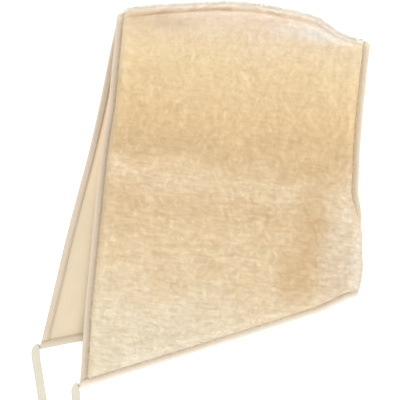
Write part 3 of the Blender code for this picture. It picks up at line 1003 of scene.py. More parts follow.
        # Patches and flecks vary the tone at random. The strands' part is painted shade in the gaps between
        # them.
        ranges = ((patch, 0.3, 0.7), (fleck, 0.3, 0.7), (strands, 0.0, 1.0))
        for ends, least in zip(ranges, self.least):
            part = add(MAP_RANGE, *ends, least, 1.0)
            shade = add(MATH, shade, part, operation="MULTIPLY")
        colour = add(VECTOR_MATH, colour, named={"Scale": shade}, operation="SCALE")

        relief = {"Height": strands, "Strength": 0.7, "Distance": self.relief}
        bump = add("ShaderNodeBump", named=relief)
        stand = add("ShaderNodeAttribute", attribute_name="outward", out="Vector")
        own = (self.own_light,) * 3
        facing = add(VECTOR_MATH, bump, own, stand, operation="MULTIPLY_ADD")
        facing = add(VECTOR_MATH, facing, operation="NORMALIZE")
        tree.links.new(colour, shader.inputs["Base Color"])
        tree.links.new(facing, shader.inputs["Normal"])
        shader.inputs["Roughness"].default_value = 0.95
        shader.inputs["Specular IOR Level"].default_value = 0.2
        shader.inputs["Sheen Weight"].default_value = 0.45
        shader.inputs["Sheen Roughness"].default_value = 0.6
        shader.inputs["Sheen Tint"].default_value = linear("#FFF4E2")

        passed = add("ShaderNodeBsdfTranslucent", colour)
        loose = add(VECTOR_MATH, stand, operation="LENGTH", out="Value")
        loose = add(MATH, loose, self.see_through, operation="MULTIPLY")
        mixed = add("ShaderNodeMixShader", loose, shader.outputs["BSDF"], passed)
        tree.links.new(mixed, tree.nodes["Material Output"].inputs["Surface"])
        return material


@dataclass(frozen=True)
class WovenFinish:
    """Cotton blend cloth in a plain weave, or tape in a twill, matt and faintly soft at grazing angles.

    The threads are finer than the picture shows, so they are drawn at the coarsest pitch that still reads as
    cloth. A twill steps its threads over as they run along, which draws slanting ribs on the tape.

    Attributes:
        name: The material's name.
        light: The tone of its raised threads.
        dark: The tone between them.
        across_pitch: Distance between its threads across.
        along_pitch: Distance between its threads along.
        twill: How far they step over.
        mottle: Size of the patches that its tone varies in.
        fuzz: Size of the fluff between its threads.
        relief: Height of its threads.
        sheen: Softness at grazing angles.
        light_and_shade_across: How light it is at places across its breadth, as painted light and shade. A
            tape has a painted highlight at its turned edge, and painted shade at its hems, darkest at the hem
            on the wool side, where the pile overhangs it.
        warm: The tone that it warms to along its length, by the fold: painted light, for the light that comes
            through the wool there.
        painted_light_span: Where along it that starts and is complete.
    """

    name: str
    light: str
    dark: str
    across_pitch: float
    along_pitch: float
    twill: float = 0.0
    mottle: float = 14.0 * MM
    fuzz: float = 0.9 * MM
    relief: float = 0.12 * MM
    sheen: float = 0.1
    light_and_shade_across: tuple[tuple[float, float], ...] = ()
    warm: str | None = None
    painted_light_span: tuple[float, float] = (-190.0 * MM, -70.0 * MM)

    def build(self) -> bpy.types.Material:
        """Makes the material, whose threads follow the UV map that measures the cloth.

        Returns:
            The material.
        """
        material, tree, shader = new_material(self.name)
        add = partial(wire, tree)
        cloth = add("ShaderNodeTexCoord", out="UV")
        place = cloth.node.outputs["Object"]
        breadth = add("ShaderNodeSeparateXYZ", cloth, out="X")
        length = breadth.node.outputs["Y"]
        across = add(MATH, breadth, math.tau / self.across_pitch, operation="MULTIPLY")
        along = add(MATH, length, math.tau / self.along_pitch, operation="MULTIPLY")
        slant = add(MATH, across, self.twill, along, operation="MULTIPLY_ADD")
        weave = 1.0
        for turns in (across, slant):
            wave = add(MATH, turns, operation="SINE")
            thread = add(MATH, wave, 0.5, 0.5, operation="MULTIPLY_ADD")
            weave = add(MATH, weave, thread, operation="MULTIPLY")
        patch = add(NOISE, place, named={"Scale": 1.0 / self.mottle, "Detail": 3.0})
        fuzz = add(NOISE, place, named={"Scale": 1.0 / self.fuzz, "Detail": 2.0})
        raised = 0.0
        for part, share in ((fuzz, 0.35), (patch, 0.4), (weave, 0.45)):
            raised = add(MATH, part, share, raised, operation="MULTIPLY_ADD")
        layers = [(raised, self.light)]
        # Painted light along the strip by the fold.
        if self.warm:
            ends = self.painted_light_span
            share = add(MAP_RANGE, length, *ends, interpolation_type="SMOOTHSTEP")
            layers.append((share, self.warm))
        colour = linear(self.dark)
        for share, tone in layers:
            mix = {"Factor": share, "A": colour, "B": linear(tone)}
            colour = add(MIX, named=mix, data_type="RGBA", out="Result")
        # Painted light and shade across the breadth: a highlight at the turned edge, and shade at the hems.
        if self.light_and_shade_across:
            hem = self.light_and_shade_across[-1][0]
            level = add(MAP_RANGE, breadth, 0.0, hem)
            stops = [(at / hem, (value, value, value, 1.0)) for at, value in self.light_and_shade_across]
            shade = add("ShaderNodeValToRGB", level, stops=stops)
            colour = add(VECTOR_MATH, colour, shade, operation="MULTIPLY")
        tree.links.new(colour, shader.inputs["Base Color"])
        height = add(MATH, fuzz, 0.5, weave, operation="MULTIPLY_ADD")
        relief = {"Height": height, "Strength": 0.6, "Distance": self.relief}
        tree.links.new(add("ShaderNodeBump", named=relief), shader.inputs["Normal"])
        shader.inputs["Roughness"].default_value = 0.9
        shader.inputs["Specular IOR Level"].default_value = 0.25
        shader.inputs["Sheen Weight"].default_value = self.sheen
        shader.inputs["Sheen Roughness"].default_value = 0.5
        return material


TAPE_PLACES = (0.0, 2.6 * MM, 6.0 * MM, 9.6 * MM, 13.4 * MM)
# The lining's warm tone by the fold is painted light.
LINING_FINISH = WovenFinish("brushed_cotton_lining", "#DED0B6", "#CFBDA2", 0.8 * MM, 0.8 * MM, warm="#FFE6C2")
TWILL = {"across_pitch": 0.7 * MM, "along_pitch": 0.9 * MM, "twill": 0.5}
STRAP_FINISH = WovenFinish("cotton_twill_strap", "#DBD7CA", "#C9C2B2", **TWILL)
TAPE_FINISH, LIT_TAPE_FINISH = (
    WovenFinish(name, light, dark, **TWILL, light_and_shade_across=tuple(zip(TAPE_PLACES, light_and_shade_across)))
    for name, light, dark, light_and_shade_across in (
        # Shares across each tape: painted shade at the hems, and a painted highlight at the turned edge.
        ("cotton_twill_tape", "#E3D5C3", "#CCBAA4", (0.80, 0.88, 1.0, 0.92, 0.84)),
        # The upper end's tape: the same tape with painted light, lighter throughout.
        ("cotton_twill_tape_painted_light", "#F3E9DB", "#DFD0BC", (0.76, 0.86, 1.0, 0.94, 0.86)),
    )
)
THREAD_FINISH = WovenFinish("polyester_thread", "#C6B296", "#AA9274", 0.4 * MM, 0.4 * MM, relief=0.05 * MM)


@dataclass(frozen=True)
class Settling:
    """Lets the soft fleece swell and buckle between its tapes, as cloth with a light pressure inside.

    Attributes:
        pressure: The pressure, which the springy wool gives.
        growth: How much more cloth there is than its tapes leave room for.
        frames: Steps of the simulation.
        cap: The limit that a point's way bends towards.
        mass: The cloth's mass at each point, in kilograms.
        stretch: How stiffly it resists a pull or a push along itself.
        bend: How stiffly it resists bending.
    """

    pressure: float = 0.22
    growth: float = 0.012
    frames: int = 16
    cap: float = 1.8 * MM
    mass: float = 0.2
    stretch: float = 12.0
    bend: float = 0.3

    def shift(self, far: Grid, near: Grid) -> Grid:
        """Simulates a slab held at its back and its rim.

        Args:
            far: Its outer points, as rows by columns.
            near: Its inner points, alike.

        Returns:
            How far each outer point moves.
        """
        rows, columns = far.shape[:2]
        mesh = Mesher.slab("settling", far, near)
        body = Mesher.link("settling", mesh)
        held = body.vertex_groups.new(name="held")
        number = np.arange(rows * columns).reshape(rows, columns)
        rim = {*number[0], *number[-1], *number[:, 0], *number[:, -1]}
        held.add([int(at) for at in rim] + list(range(rows * columns, len(mesh.vertices))), 1.0, "REPLACE")
        cloth = body.modifiers.new("cloth", "CLOTH")
        cloth.point_cache.frame_end = self.frames
        cloth.settings.quality = 6
        cloth.settings.mass = self.mass
        cloth.settings.tension_stiffness = self.stretch
        cloth.settings.compression_stiffness = self.stretch
        cloth.settings.bending_stiffness = self.bend
        cloth.settings.use_pressure = True
        cloth.settings.uniform_pressure_force = self.pressure
        cloth.settings.shrink_min = -self.growth
        cloth.settings.vertex_group_mass = "held"
        cloth.settings.effector_weights.gravity = 0.0
        for frame in range(1, self.frames + 1):
            bpy.context.scene.frame_set(frame)
        settled = body.evaluated_get(bpy.context.evaluated_depsgraph_get()).to_mesh()
        points = np.zeros(len(settled.vertices) * 3, np.float32)
        settled.vertices.foreach_get("co", points)
        bpy.context.scene.frame_set(1)
        moved = points.reshape(-1, 3)[: rows * columns].reshape(rows, columns, 3) - far
        bpy.data.objects.remove(body, do_unlink=True)
        length = np.linalg.norm(moved, axis=-1, keepdims=True)
        log.info("the settling moves the fleece by %.2f mm on average", 1000.0 * float(length.mean()))
        return moved * self.cap / (self.cap + length)

    @staticmethod
    def refine(coarse: Grid, step: int) -> Grid:
        """Spreads values of a coarse grid over one that is finer by a whole step.

        Args:
            coarse: The values, as rows by columns.
            step: How many fine squares one coarse square spans each way.

        Returns:
            The values on the fine grid, smoothed.
        """
        fine = coarse
        for _axis in range(2):
            at = np.arange((len(fine) - 1) * step + 1) / step
            first = np.minimum(at.astype(int), len(fine) - 2)
            share = (at - first)[:, None, None]
            fine = fine[first] * (1.0 - share) + fine[first + 1] * share
            for _ in range(step):
                fine[1:-1] = 0.5 * fine[1:-1] + 0.25 * (fine[:-2] + fine[2:])
            fine = fine.swapaxes(0, 1)
        return fine


@dataclass(frozen=True)
class PileStretch:
    """A stretch of the fleece whose locks are a piece of their own.

    Attributes:
        label: Its name.
        start: Where it starts along the strip.
        finish: Where it ends.
        fullness: How densely its locks stand beside the upper panel's.
        reach: How far its fibres reach over, aside and up beside the upper panel's.
    """

    label: str
    start: float
    finish: float
    fullness: float = 1.0
    reach: tuple[float, float, float] = (1.0, 1.0, 1.0)


class PilePart(Enum):
    """The stretches of pile, from the lower panel's free end to the upper one's."""

    LOWER = PileStretch("lower", -1.0, 0.0, 0.16)
    FOLD = PileStretch("fold", 0.0, 0.80, 0.8, (0.7, 1.0, 2.3))
    CREST = PileStretch("crest", 0.80, 1.12)
    UPPER = PileStretch("upper", 1.12, 1.36)
    RIDGE = PileStretch("ridge", 1.36, 1.60)
    LOW = PileStretch("low", 1.60, 1.80)
    END = PileStretch("end", 1.80, 2.0)


@dataclass
class Fleece:
    """The wool strip: a skin of pile in relief, and the locks that stand on it.

    Attributes:
        shape: The rule of the pad's places.
        material: The wool's material.
        settling: How it settles between its tapes.
        columns: Squares across the skin, a multiple of the back's coarseness.
        lower_rows: Squares along the lower panel, and so on for the other stretches.
        back_step: How much coarser the hidden back is.
        inset: Distance in from the edge at which the wool starts, just clear of the tape.
        rim: Its depth there, level with the tape.
        groove: Depth of the parting that the tight fold opens in the pile.
        groove_half_angle: Half its width, as an angle round the fold.
        fuzz: How much lower the skin lies round the outside of the fold, where loose fibres fill the room.
        fuzz_angle: Where round the fold that is.
        fuzz_half_angle: Half its width.
        parting_climb: How far the parting climbs at the long side, as an angle round the fold.
        parting_wave: How far it wavers.
        lit_rim_angle: Where round the fold the painted light on its fibres is strongest.
        lit_rim_half_angle: Half the width of that painted light.
        comb_angle: How far from the parting the pile is pushed away, as an angle round the fold.
        comb_span: Width of the strip along a tape where the pile is pushed over it.
        brushed: How much the relief is drawn out across the strip, where the pile is brushed.
        turn: Size of the turns in the rows of clumps.
        turn_way: How far they carry a clump aside.
        clump: Size of the clumps that the pile gathers in.
        clump_height: Their height.
        curl: Size of the curls in the pile.
        curl_height: Their height.
        swell: Size of the broad swells of the pile.
        swell_height: Their height.
        lock_length: Length of a fibre.
        fibre_width: Width of a fibre, drawn as a few real ones together so that it shows.
        lock_spacing: Least distance between locks.
        density: Locks in a square metre before the ones that stand too near are left out.
    """

    shape: PadShape
    material: bpy.types.Material
    settling: Settling = Settling()
    columns: int = 168
    lower_rows: int = 44
    roll_rows: int = 64
    upper_rows: int = 200
    back_step: int = 4
    inset: float = 4.06 * MM
    rim: float = 2.1 * MM
    groove: float = 1.9 * MM
    groove_half_angle: float = math.radians(8.0)
    fuzz: float = 1.8 * MM
    fuzz_angle: float = math.radians(10.0)
    fuzz_half_angle: float = math.radians(34.0)
    parting_climb: float = math.radians(9.0)
    parting_wave: float = math.radians(2.2)
    lit_rim_angle: float = math.radians(8.0)
    lit_rim_half_angle: float = math.radians(30.0)
    comb_angle: float = math.radians(50.0)
    comb_span: float = 4.5 * MM
    brushed: float = 0.3
    turn: float = 16.0 * MM
    turn_way: float = 9.0 * MM
    clump: float = 5.5 * MM
    clump_height: float = 1.0 * MM
    curl: float = 2.6 * MM
    curl_height: float = 0.6 * MM
    swell: float = 34.0 * MM
    swell_height: float = 1.8 * MM
    lock_length: float = 3.8 * MM
    fibre_width: float = 0.2 * MM
    lock_spacing: float = 1.06 * MM
    density: float = 1200000.0

    def grid(self, columns: int, rows: tuple[int, int, int]) -> tuple[Grid, Grid]:
        """Lays out places u and q over the whole fleece, inside its tapes.

        Args:
            columns: Squares across.
            rows: Squares along the lower panel, the fold and the upper panel.

        Returns:
            u and q as rows by columns.
        """
        shape = self.shape
        inset = self.inset
        share = np.linspace(0.0, 1.0, columns + 1)[None, :]
        starts = zip((-1.0, 0.0, 1.0), rows)
        parts = [np.linspace(start, start + 1.0, count + 1)[:-1] for start, count in starts]
        stretch = np.concatenate((*parts, [2.0]))[:, None]

        def along(u: Grid) -> Grid:
            """Gives the places along the strip of every row at u."""
            low, high = shape.along(inset, u, False), shape.along(inset, u, True)
            q = np.where(stretch < 0.0, -stretch * low, stretch)
            return np.where(stretch > 1.0, 1.0 + (stretch - 1.0) * (high - 1.0), q)

        middle = along(np.full((1, 1), 0.5))
        left = shape.across(inset, middle, False)
        right = shape.across(inset, middle, True)
        u = left + (right - left) * share
        return u, along(u)

    @staticmethod
    def outside(q: Grid, angle: float, half_angle: float) -> Grid:
        """Tells how near a place is to an angle round the outside of the fold, from 0 to 1."""
        off = math.pi * (np.clip(q, 0.0, 1.0) - 0.5) - angle
        return bell(off / half_angle) * ((q > 0.0) & (q < 1.0))

    def parting(self, u: Grid, q: Grid, half_angle: float) -> Grid:
        """Tells how near the fold's parting a place is, from 0 to 1.

        Args:
            u: Places across the strip.
            q: Places along the strip.
            half_angle: How far round the fold it reaches.

        Returns:
            The shares.
        """
        line = self.shape.parting_angle + self.parting_climb * bell(u / 0.22)
        line = line + self.parting_wave * np.sin(16.0 * u + 1.0) * np.cos(41.0 * u)
        off = (math.pi * (q - 0.5) - line) / half_angle
        ends = smooth_step(u / 0.03) * (1.0 - 0.75 * smooth_step(u / 0.9))
        return np.where((q > 0.0) & (q < 1.6), bell(off), 0.0) * ends

    def skin(self) -> Piece:
        """Makes the closed skin without its relief, with the values that the node trees read.

        Returns:
            The skin.
        """
        shape = self.shape
        u, q = self.grid(self.columns, (self.lower_rows, self.roll_rows, self.upper_rows))
        depth, rise = shape.wool(u, q, self.inset, self.rim)
        calm = self.parting(u, q, self.groove_half_angle)
        fuzzy = self.outside(q, self.fuzz_angle, self.fuzz_half_angle)
        depth = depth - (self.groove * calm + self.fuzz * fuzzy) * rise
        far = shape.at(u, q, depth)
        step = self.back_step
        near = shape.at(u[::step, ::step], q[::step, ::step], np.zeros_like(u[::step, ::step]))
        rough = self.roughness(u, q)
        moved = self.settling.shift(far[::step, ::step], near)
        loose = (1.0 - 0.65 * smooth_step(1.0 - np.abs(q - 0.75) / 0.6)) * (0.4 + 0.6 * rough)
        far = far + Settling.refine(moved, step) * loose[..., None]
        mesh = Mesher.slab("wool_skin_base", far, near, step)
        extra = near.shape[0] * near.shape[1]
        values = {
            "grow": rise * (1.0 - calm),
            "strip": q,
            "outward": shape.normal(u, q),
            "comb": self.combed(u, q),
            "rough": rough,
            # Where the roots' tone and painted shade lie along the parting.
            "parting_roots_and_shade": 0.8 * self.parting(u, q, self.groove_half_angle * 1.4),
            # Where the painted light lies on the fibres round the outside of the fold.
            "rim": self.outside(q, self.lit_rim_angle, self.lit_rim_half_angle),
        }
        for name, value in values.items():
            flat = value.reshape(-1, 3) if value.ndim == 3 else value.ravel()
            fill = np.full((extra,) + flat.shape[1:], PAST_THE_STRIP if name == "strip" else 0.0)
            Mesher.store(mesh, name, np.concatenate((flat, fill)))
        return Mesher.link("wool_skin_base", mesh)

    def combed(self, u: Grid, q: Grid) -> Grid:
        """Gives the way the pile is pushed over: away from the parting, and out over the tapes.

        Args:
            u: Places across the strip.
            q: Places along the strip.

        Returns:
            A vector at each place, 1 long where the push is strong.
        """
        shape = self.shape
        along = unit(shape.face(u, np.minimum(q + 0.01, 2.0)) - shape.face(u, np.maximum(q - 0.01, -1.0)))
        aside = unit(shape.face(u + 0.005, q) - shape.face(u - 0.005, q))
        side = np.sign(math.pi * (q - 0.5) - shape.parting_angle)
        push = along * (side * self.parting(u, q, self.comb_angle))[..., None]
        edges = (
            u * shape.side_reach(q, False),
            (1.0 - u) * shape.side_reach(q, True),
            (2.0 - q) * shape.end_reach(shape.upper, u),
            (1.0 + q) * shape.end_reach(shape.lower, u),
        )
        left, right, upper, lower = (bell((edge - self.inset) / self.comb_span) for edge in edges)
        free = 0.7 + 0.3 * smooth_step((np.abs(q - 0.5) - 0.55) / 0.25)
        left, right = left * free, right * free
        return push + aside * (right - left)[..., None] + along * (upper - lower)[..., None]

    @staticmethod
    def roughness(u: Grid, q: Grid) -> Grid:
        """Tells how curly the pile is: flat by the fold, clumped lower down, smoother at the corner."""
        curly = smooth_step((q - 1.34) / 0.28)
        corner = smooth_step((q - 1.62) / 0.22) * smooth_step(1.35 - 1.6 * u)
        return 0.12 + 0.88 * curly * (1.0 - 0.85 * corner)

    def relief_tree(self) -> Tree:
        """Builds the tree that raises clumps and curls on the skin, and keeps it off the table.

        Returns:
            The tree.
        """
        tree, given = new_tree(
            "wool_relief",
            {
                "Clump Size": self.clump,
                "Clump Height": self.clump_height,
                "Curl Size": self.curl,
                "Curl Height": self.curl_height,
                "Swell Height": self.swell_height,
                "Material": None,
            },
        )
        add = partial(wire, tree)
        place = add("GeometryNodeInputPosition")
        rough, grow, outward = (
            add(STORED, data_type=kind, named={"Name": name}, out="Attribute")
            for name, kind in (("rough", "FLOAT"), ("grow", "FLOAT"), ("outward", "FLOAT_VECTOR"))
        )
        drift = wander(tree, place, self.turn, self.turn_way)
        moved = add(VECTOR_MATH, place, drift, operation="ADD")
        moved = add(VECTOR_MATH, moved, (self.brushed, 1.0, 1.0), operation="MULTIPLY")
        clump_scale, curl_scale = (
            add(MATH, 1.0, given[size], operation="DIVIDE") for size in ("Clump Size", "Curl Size")
        )
        named = {"Scale": clump_scale, "Smoothness": 0.7}
        clump = add("ShaderNodeTexVoronoi", moved, feature="SMOOTH_F1", named=named, out="Distance")
        mound = add(MATH, 0.5, clump, operation="SUBTRACT")
        named = {"Scale": curl_scale, "Detail": 1.5, "Distortion": 0.6}
        curl = add(NOISE, moved, named=named)
        swell = add(NOISE, place, named={"Scale": 1.0 / self.swell, "Detail": 1.0})
        curl, swell = (add(MATH, part, 0.5, operation="SUBTRACT") for part in (curl, swell))
        height = add(MATH, mound, given["Clump Height"], operation="MULTIPLY")
        height = add(MATH, curl, given["Curl Height"], height, operation="MULTIPLY_ADD")
        height = add(MATH, height, rough, operation="MULTIPLY")
        height = add(MATH, swell, given["Swell Height"], height, operation="MULTIPLY_ADD")
        height = add(MATH, height, grow, operation="MULTIPLY")
        offset = add(VECTOR_MATH, outward, named={"Scale": height}, operation="SCALE")
        raised = add("GeometryNodeSetPosition", given["Geometry"], named={"Offset": offset})
        end_tree(tree, raised, given["Material"])
        return tree

    def locks_tree(self) -> Tree:
        """Builds the tree that lays locks of curled fibres on the skin.

        Returns:
            The tree.
        """
        tree, given = new_tree(
            "wool_locks",
            {
                "From": -1.0,
                "To": 2.0,
                "Locks per Square Metre": self.density,
                "Lock Spacing": self.lock_spacing,
                "Fibre Length": self.lock_length,
                "Fibre Width": self.fibre_width,
                "Reach": (1.0, 1.0, 1.0),
                "Sway": 0.6,
                "Stray": 1.5,
                "Combed": 3.0,
                "Seed": 0,
                "Material": None,
            },
        )
        add = partial(wire, tree)
        tuft = self.tuft(tree, given)
        grow, strip, rough, comb, outward = (
            add(STORED, data_type=kind, named={"Name": name}, out="Attribute")
            for kind, names in (("FLOAT", ("grow", "strip", "rough")), ("FLOAT_VECTOR", ("comb", "outward")))
            for name in names
        )
        inside = 1.0
        limits = (
            (grow, 0.12, "GREATER_THAN"),
            (strip, given["From"], "GREATER_THAN"),
            (strip, given["To"], "LESS_THAN"),
        )
        for value, limit, test in limits:
            kept = add(MATH, value, limit, operation=test)
            inside = add(MATH, inside, kept, operation="MULTIPLY")
        named = {
            "Mesh": given["Geometry"],
            "Selection": inside,
            "Distance Min": given["Lock Spacing"],
            "Density Max": given["Locks per Square Metre"],
            "Seed": given["Seed"],
        }
        kind = "GeometryNodeDistributePointsOnFaces"
        spots = add(kind, distribute_method="POISSON", named=named, out="Points")
        upright = spots.node.outputs["Normal"]

        place = add("GeometryNodeInputPosition")
        drawn = add(VECTOR_MATH, place, (0.35, 1.0, 1.0), operation="MULTIPLY")
        sway, stray = (wander(tree, drawn, 5.0 * MM, given[way]) for way in ("Sway", "Stray"))
        stand = add(VECTOR_MATH, outward, (0.9, 0.9, 0.9), upright, operation="MULTIPLY_ADD")
        stand = add(VECTOR_MATH, stand, sway, operation="ADD")
        stand = add(ALIGN, axis="Z", named={"Vector": stand})

        cell = add("ShaderNodeTexVoronoi", place, named={"Scale": 1.0 / self.clump}, out="Position")
        gather = add(VECTOR_MATH, cell, place, operation="SUBTRACT")
        gather = add(VECTOR_MATH, gather, operation="NORMALIZE")
        pull = add(MATH, rough, 0.4, operation="MULTIPLY")
        either, size = (
            add(RANDOM, data_type="FLOAT", named={"Min": low, "Max": high, "Seed": seed}, out="Value")
            for low, high, seed in ((-1.0, 1.0, 3), (0.65, 1.2, 33))
        )
        either = add(MATH, either, operation="SIGN")
        lie = stray
        for way, strength in (((1.0, 0.0, 0.0), either), (gather, pull), (comb, given["Combed"])):
            push = add(VECTOR_MATH, way, named={"Scale": strength}, operation="SCALE")
            lie = add(VECTOR_MATH, lie, push, operation="ADD")
        faced = add(ALIGN, stand, axis="X", pivot_axis="Z", named={"Vector": lie})
        named = {"Points": spots, "Instance": tuft, "Rotation": faced, "Scale": size}
        end_tree(tree, add("GeometryNodeInstanceOnPoints", named=named), given["Material"])
        return tree

    @staticmethod
    def tuft(tree: Tree, given: Any) -> Socket:
        """Makes one lock: fibres fanned out from a foot, lying over towards X.

        Args:
            tree: The tree that takes its nodes.
            given: The tree's inputs.

        Returns:
            The lock's geometry.
        """
        add = partial(wire, tree)
        length = given["Fibre Length"]
        reach = add(VECTOR_MATH, given["Reach"], named={"Scale": length}, operation="SCALE")
        bends = {
            "Start": (0.0, 0.0, -0.12),
            "Start Handle": (-0.08, 0.0, 0.28),
            "End Handle": (0.55, -0.16, 0.42),
            "End": (0.80, 0.30, 0.10),
        }
        places = {name: add(VECTOR_MATH, bend, reach, operation="MULTIPLY") for name, bend in bends.items()}
        fibre = add("GeometryNodeCurvePrimitiveBezierSegment", named={"Resolution": 4, **places})
        share = add("GeometryNodeSplineParameter")
        marked = add("GeometryNodeStoreNamedAttribute", fibre, named={"Name": "tip", "Value": share})
        width = {"Scale": given["Fibre Width"]}
        near, far = (
            add(VECTOR_MATH, (half, 0.0, 0.0), named=width, operation="SCALE") for half in (-0.5, 0.5)
        )
        band = add("GeometryNodeCurvePrimitiveLine", near, far)
        taper = add(MATH, share, -0.6, 1.0, operation="MULTIPLY_ADD")
        named = {"Curve": marked, "Profile Curve": band, "Scale": taper}
        ribbon = add("GeometryNodeCurveToMesh", named=named)
        radius = add(MATH, length, 0.16, operation="MULTIPLY")
        feet = add("GeometryNodeMeshCircle", named={"Vertices": 3, "Radius": radius})
        number = add("GeometryNodeInputIndex")
        fan = add(MATH, number, 0.5, -0.5, operation="MULTIPLY_ADD")
        tilt, size = (
            add(RANDOM, data_type="FLOAT", named={"Min": low, "Max": high, "Seed": seed}, out="Value")
            for low, high, seed in ((-0.25, 0.3, 5), (0.75, 1.15, 9))
        )
        turned = add("ShaderNodeCombineXYZ", named={"Y": tilt, "Z": fan})
        turned = add("FunctionNodeEulerToRotation", turned)
        named = {"Points": feet, "Instance": ribbon, "Rotation": turned, "Scale": size}
        return add("GeometryNodeRealizeInstances", add("GeometryNodeInstanceOnPoints", named=named))

    def build(self) -> list[Piece]:
        """Makes the skin and its locks.

        Returns:
            The pieces.
        """
        base = self.skin()
        skin = Mesher.grown(base, self.relief_tree(), {"Material": self.material}, "wool_skin")
        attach(skin, BODY)
        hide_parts("fleece")
        pieces = [skin]
        tree = self.locks_tree()
        for number, part in enumerate(PilePart):
            stretch = part.value
            values = {
                "From": stretch.start,
                "To": stretch.finish,
                "Seed": 40 + number,
                "Material": self.material,
                "Locks per Square Metre": self.density * stretch.fullness,
                "Lock Spacing": self.lock_spacing / math.sqrt(stretch.fullness),
                "Reach": stretch.reach,
            }
            locks = Mesher.grown(skin, tree, values, f"wool_locks_{stretch.label}")
            Mesher.forget(locks.data, ("grow", "strip", "comb", "rough"))
            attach(locks, BODY)
            pieces.append(locks)
        Mesher.forget(skin.data, ("grow", "strip", "outward", "comb", "rough"))
        bpy.data.objects.remove(base, do_unlink=True)
        return pieces


@dataclass
class Lining:
    """The smooth cloth on the inner side, from edge to edge over the fold.

    Attributes:
        shape: The rule of the pad's places.
        material: The cloth's material.
        columns: Squares across.
        rows: Squares along.
        pucker: Height of its faint puckers.
        flat_margin: Width of the strip along its sides where the puckers fade.
        cut_length: Length of the flat cut, along its middle. Not used.
        mean_length: The cut's area for each metre of its width. Not used.
    """

    shape: PadShape
    material: bpy.types.Material
    columns: int = 50
    rows: int = 125
    pucker: float = 0.22 * MM
    flat_margin: float = 12.0 * MM
    cut_length: float = 0.60
    mean_length: float = 0.57

    def build(self) -> list[Piece]:
        """Makes the lining as a thin closed cloth with faint puckers.

        Returns:
            The pieces.
        """
        shape = self.shape
        u = np.linspace(0.0, 1.0, self.columns + 1)[None, :]
        q = np.linspace(-1.0, 2.0, self.rows + 1)[:, None]
        u, q = np.broadcast_arrays(u, q)
        wave = np.sin(q * 210.0 + 3.0 * np.sin(u * 9.0)) * np.sin(u * 33.0 + q * 17.0)
        edge = np.minimum(u, 1.0 - u) * shape.fold_width
        n = -self.pucker * wave * smooth_step(edge / self.flat_margin)
        near = shape.at(u, q, n * 0.5 - shape.lining_seat)
        far = shape.at(u, q, n * 0.5 - shape.clearance)
        mesh = Mesher.slab("lining_cloth", far, near)
        width, length = u * shape.fold_width, q * shape.upper.long_side
        cloth = Mesher.clad(mesh, np.stack((width, width)), np.stack((length, length)), self.material)
        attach(cloth, BODY)
        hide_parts("lining")
        area = self.area()
        return [cloth]

    def area(self) -> float:
        """Gives the cut's flat area, both panels and the fold.

        Returns:
            The area in square metres.
        """
        u, q = np.meshgrid(np.linspace(0.0, 1.0, 81), np.linspace(-1.0, 2.0, 241))
        points = self.shape.at(u, q, np.full(u.shape, -self.shape.lining_seat))
        one = points[1:, :-1] - points[:-1, :-1]
        two = points[:-1, 1:] - points[:-1, :-1]
        return float(np.linalg.norm(np.cross(one, two), axis=-1).sum())


class Edge(Enum):
    """The strip's four bound edges, with the CAD node of each."""

    LONG_SIDE = "binding_long_side"
    SHORT_SIDE = "binding_short_side"
    UPPER_END = "binding_upper_end"
    LOWER_END = "binding_lower_end"

    @property
    def is_side(self) -> bool:
        """Tells whether it runs along the strip."""
        return self in (Edge.LONG_SIDE, Edge.SHORT_SIDE)


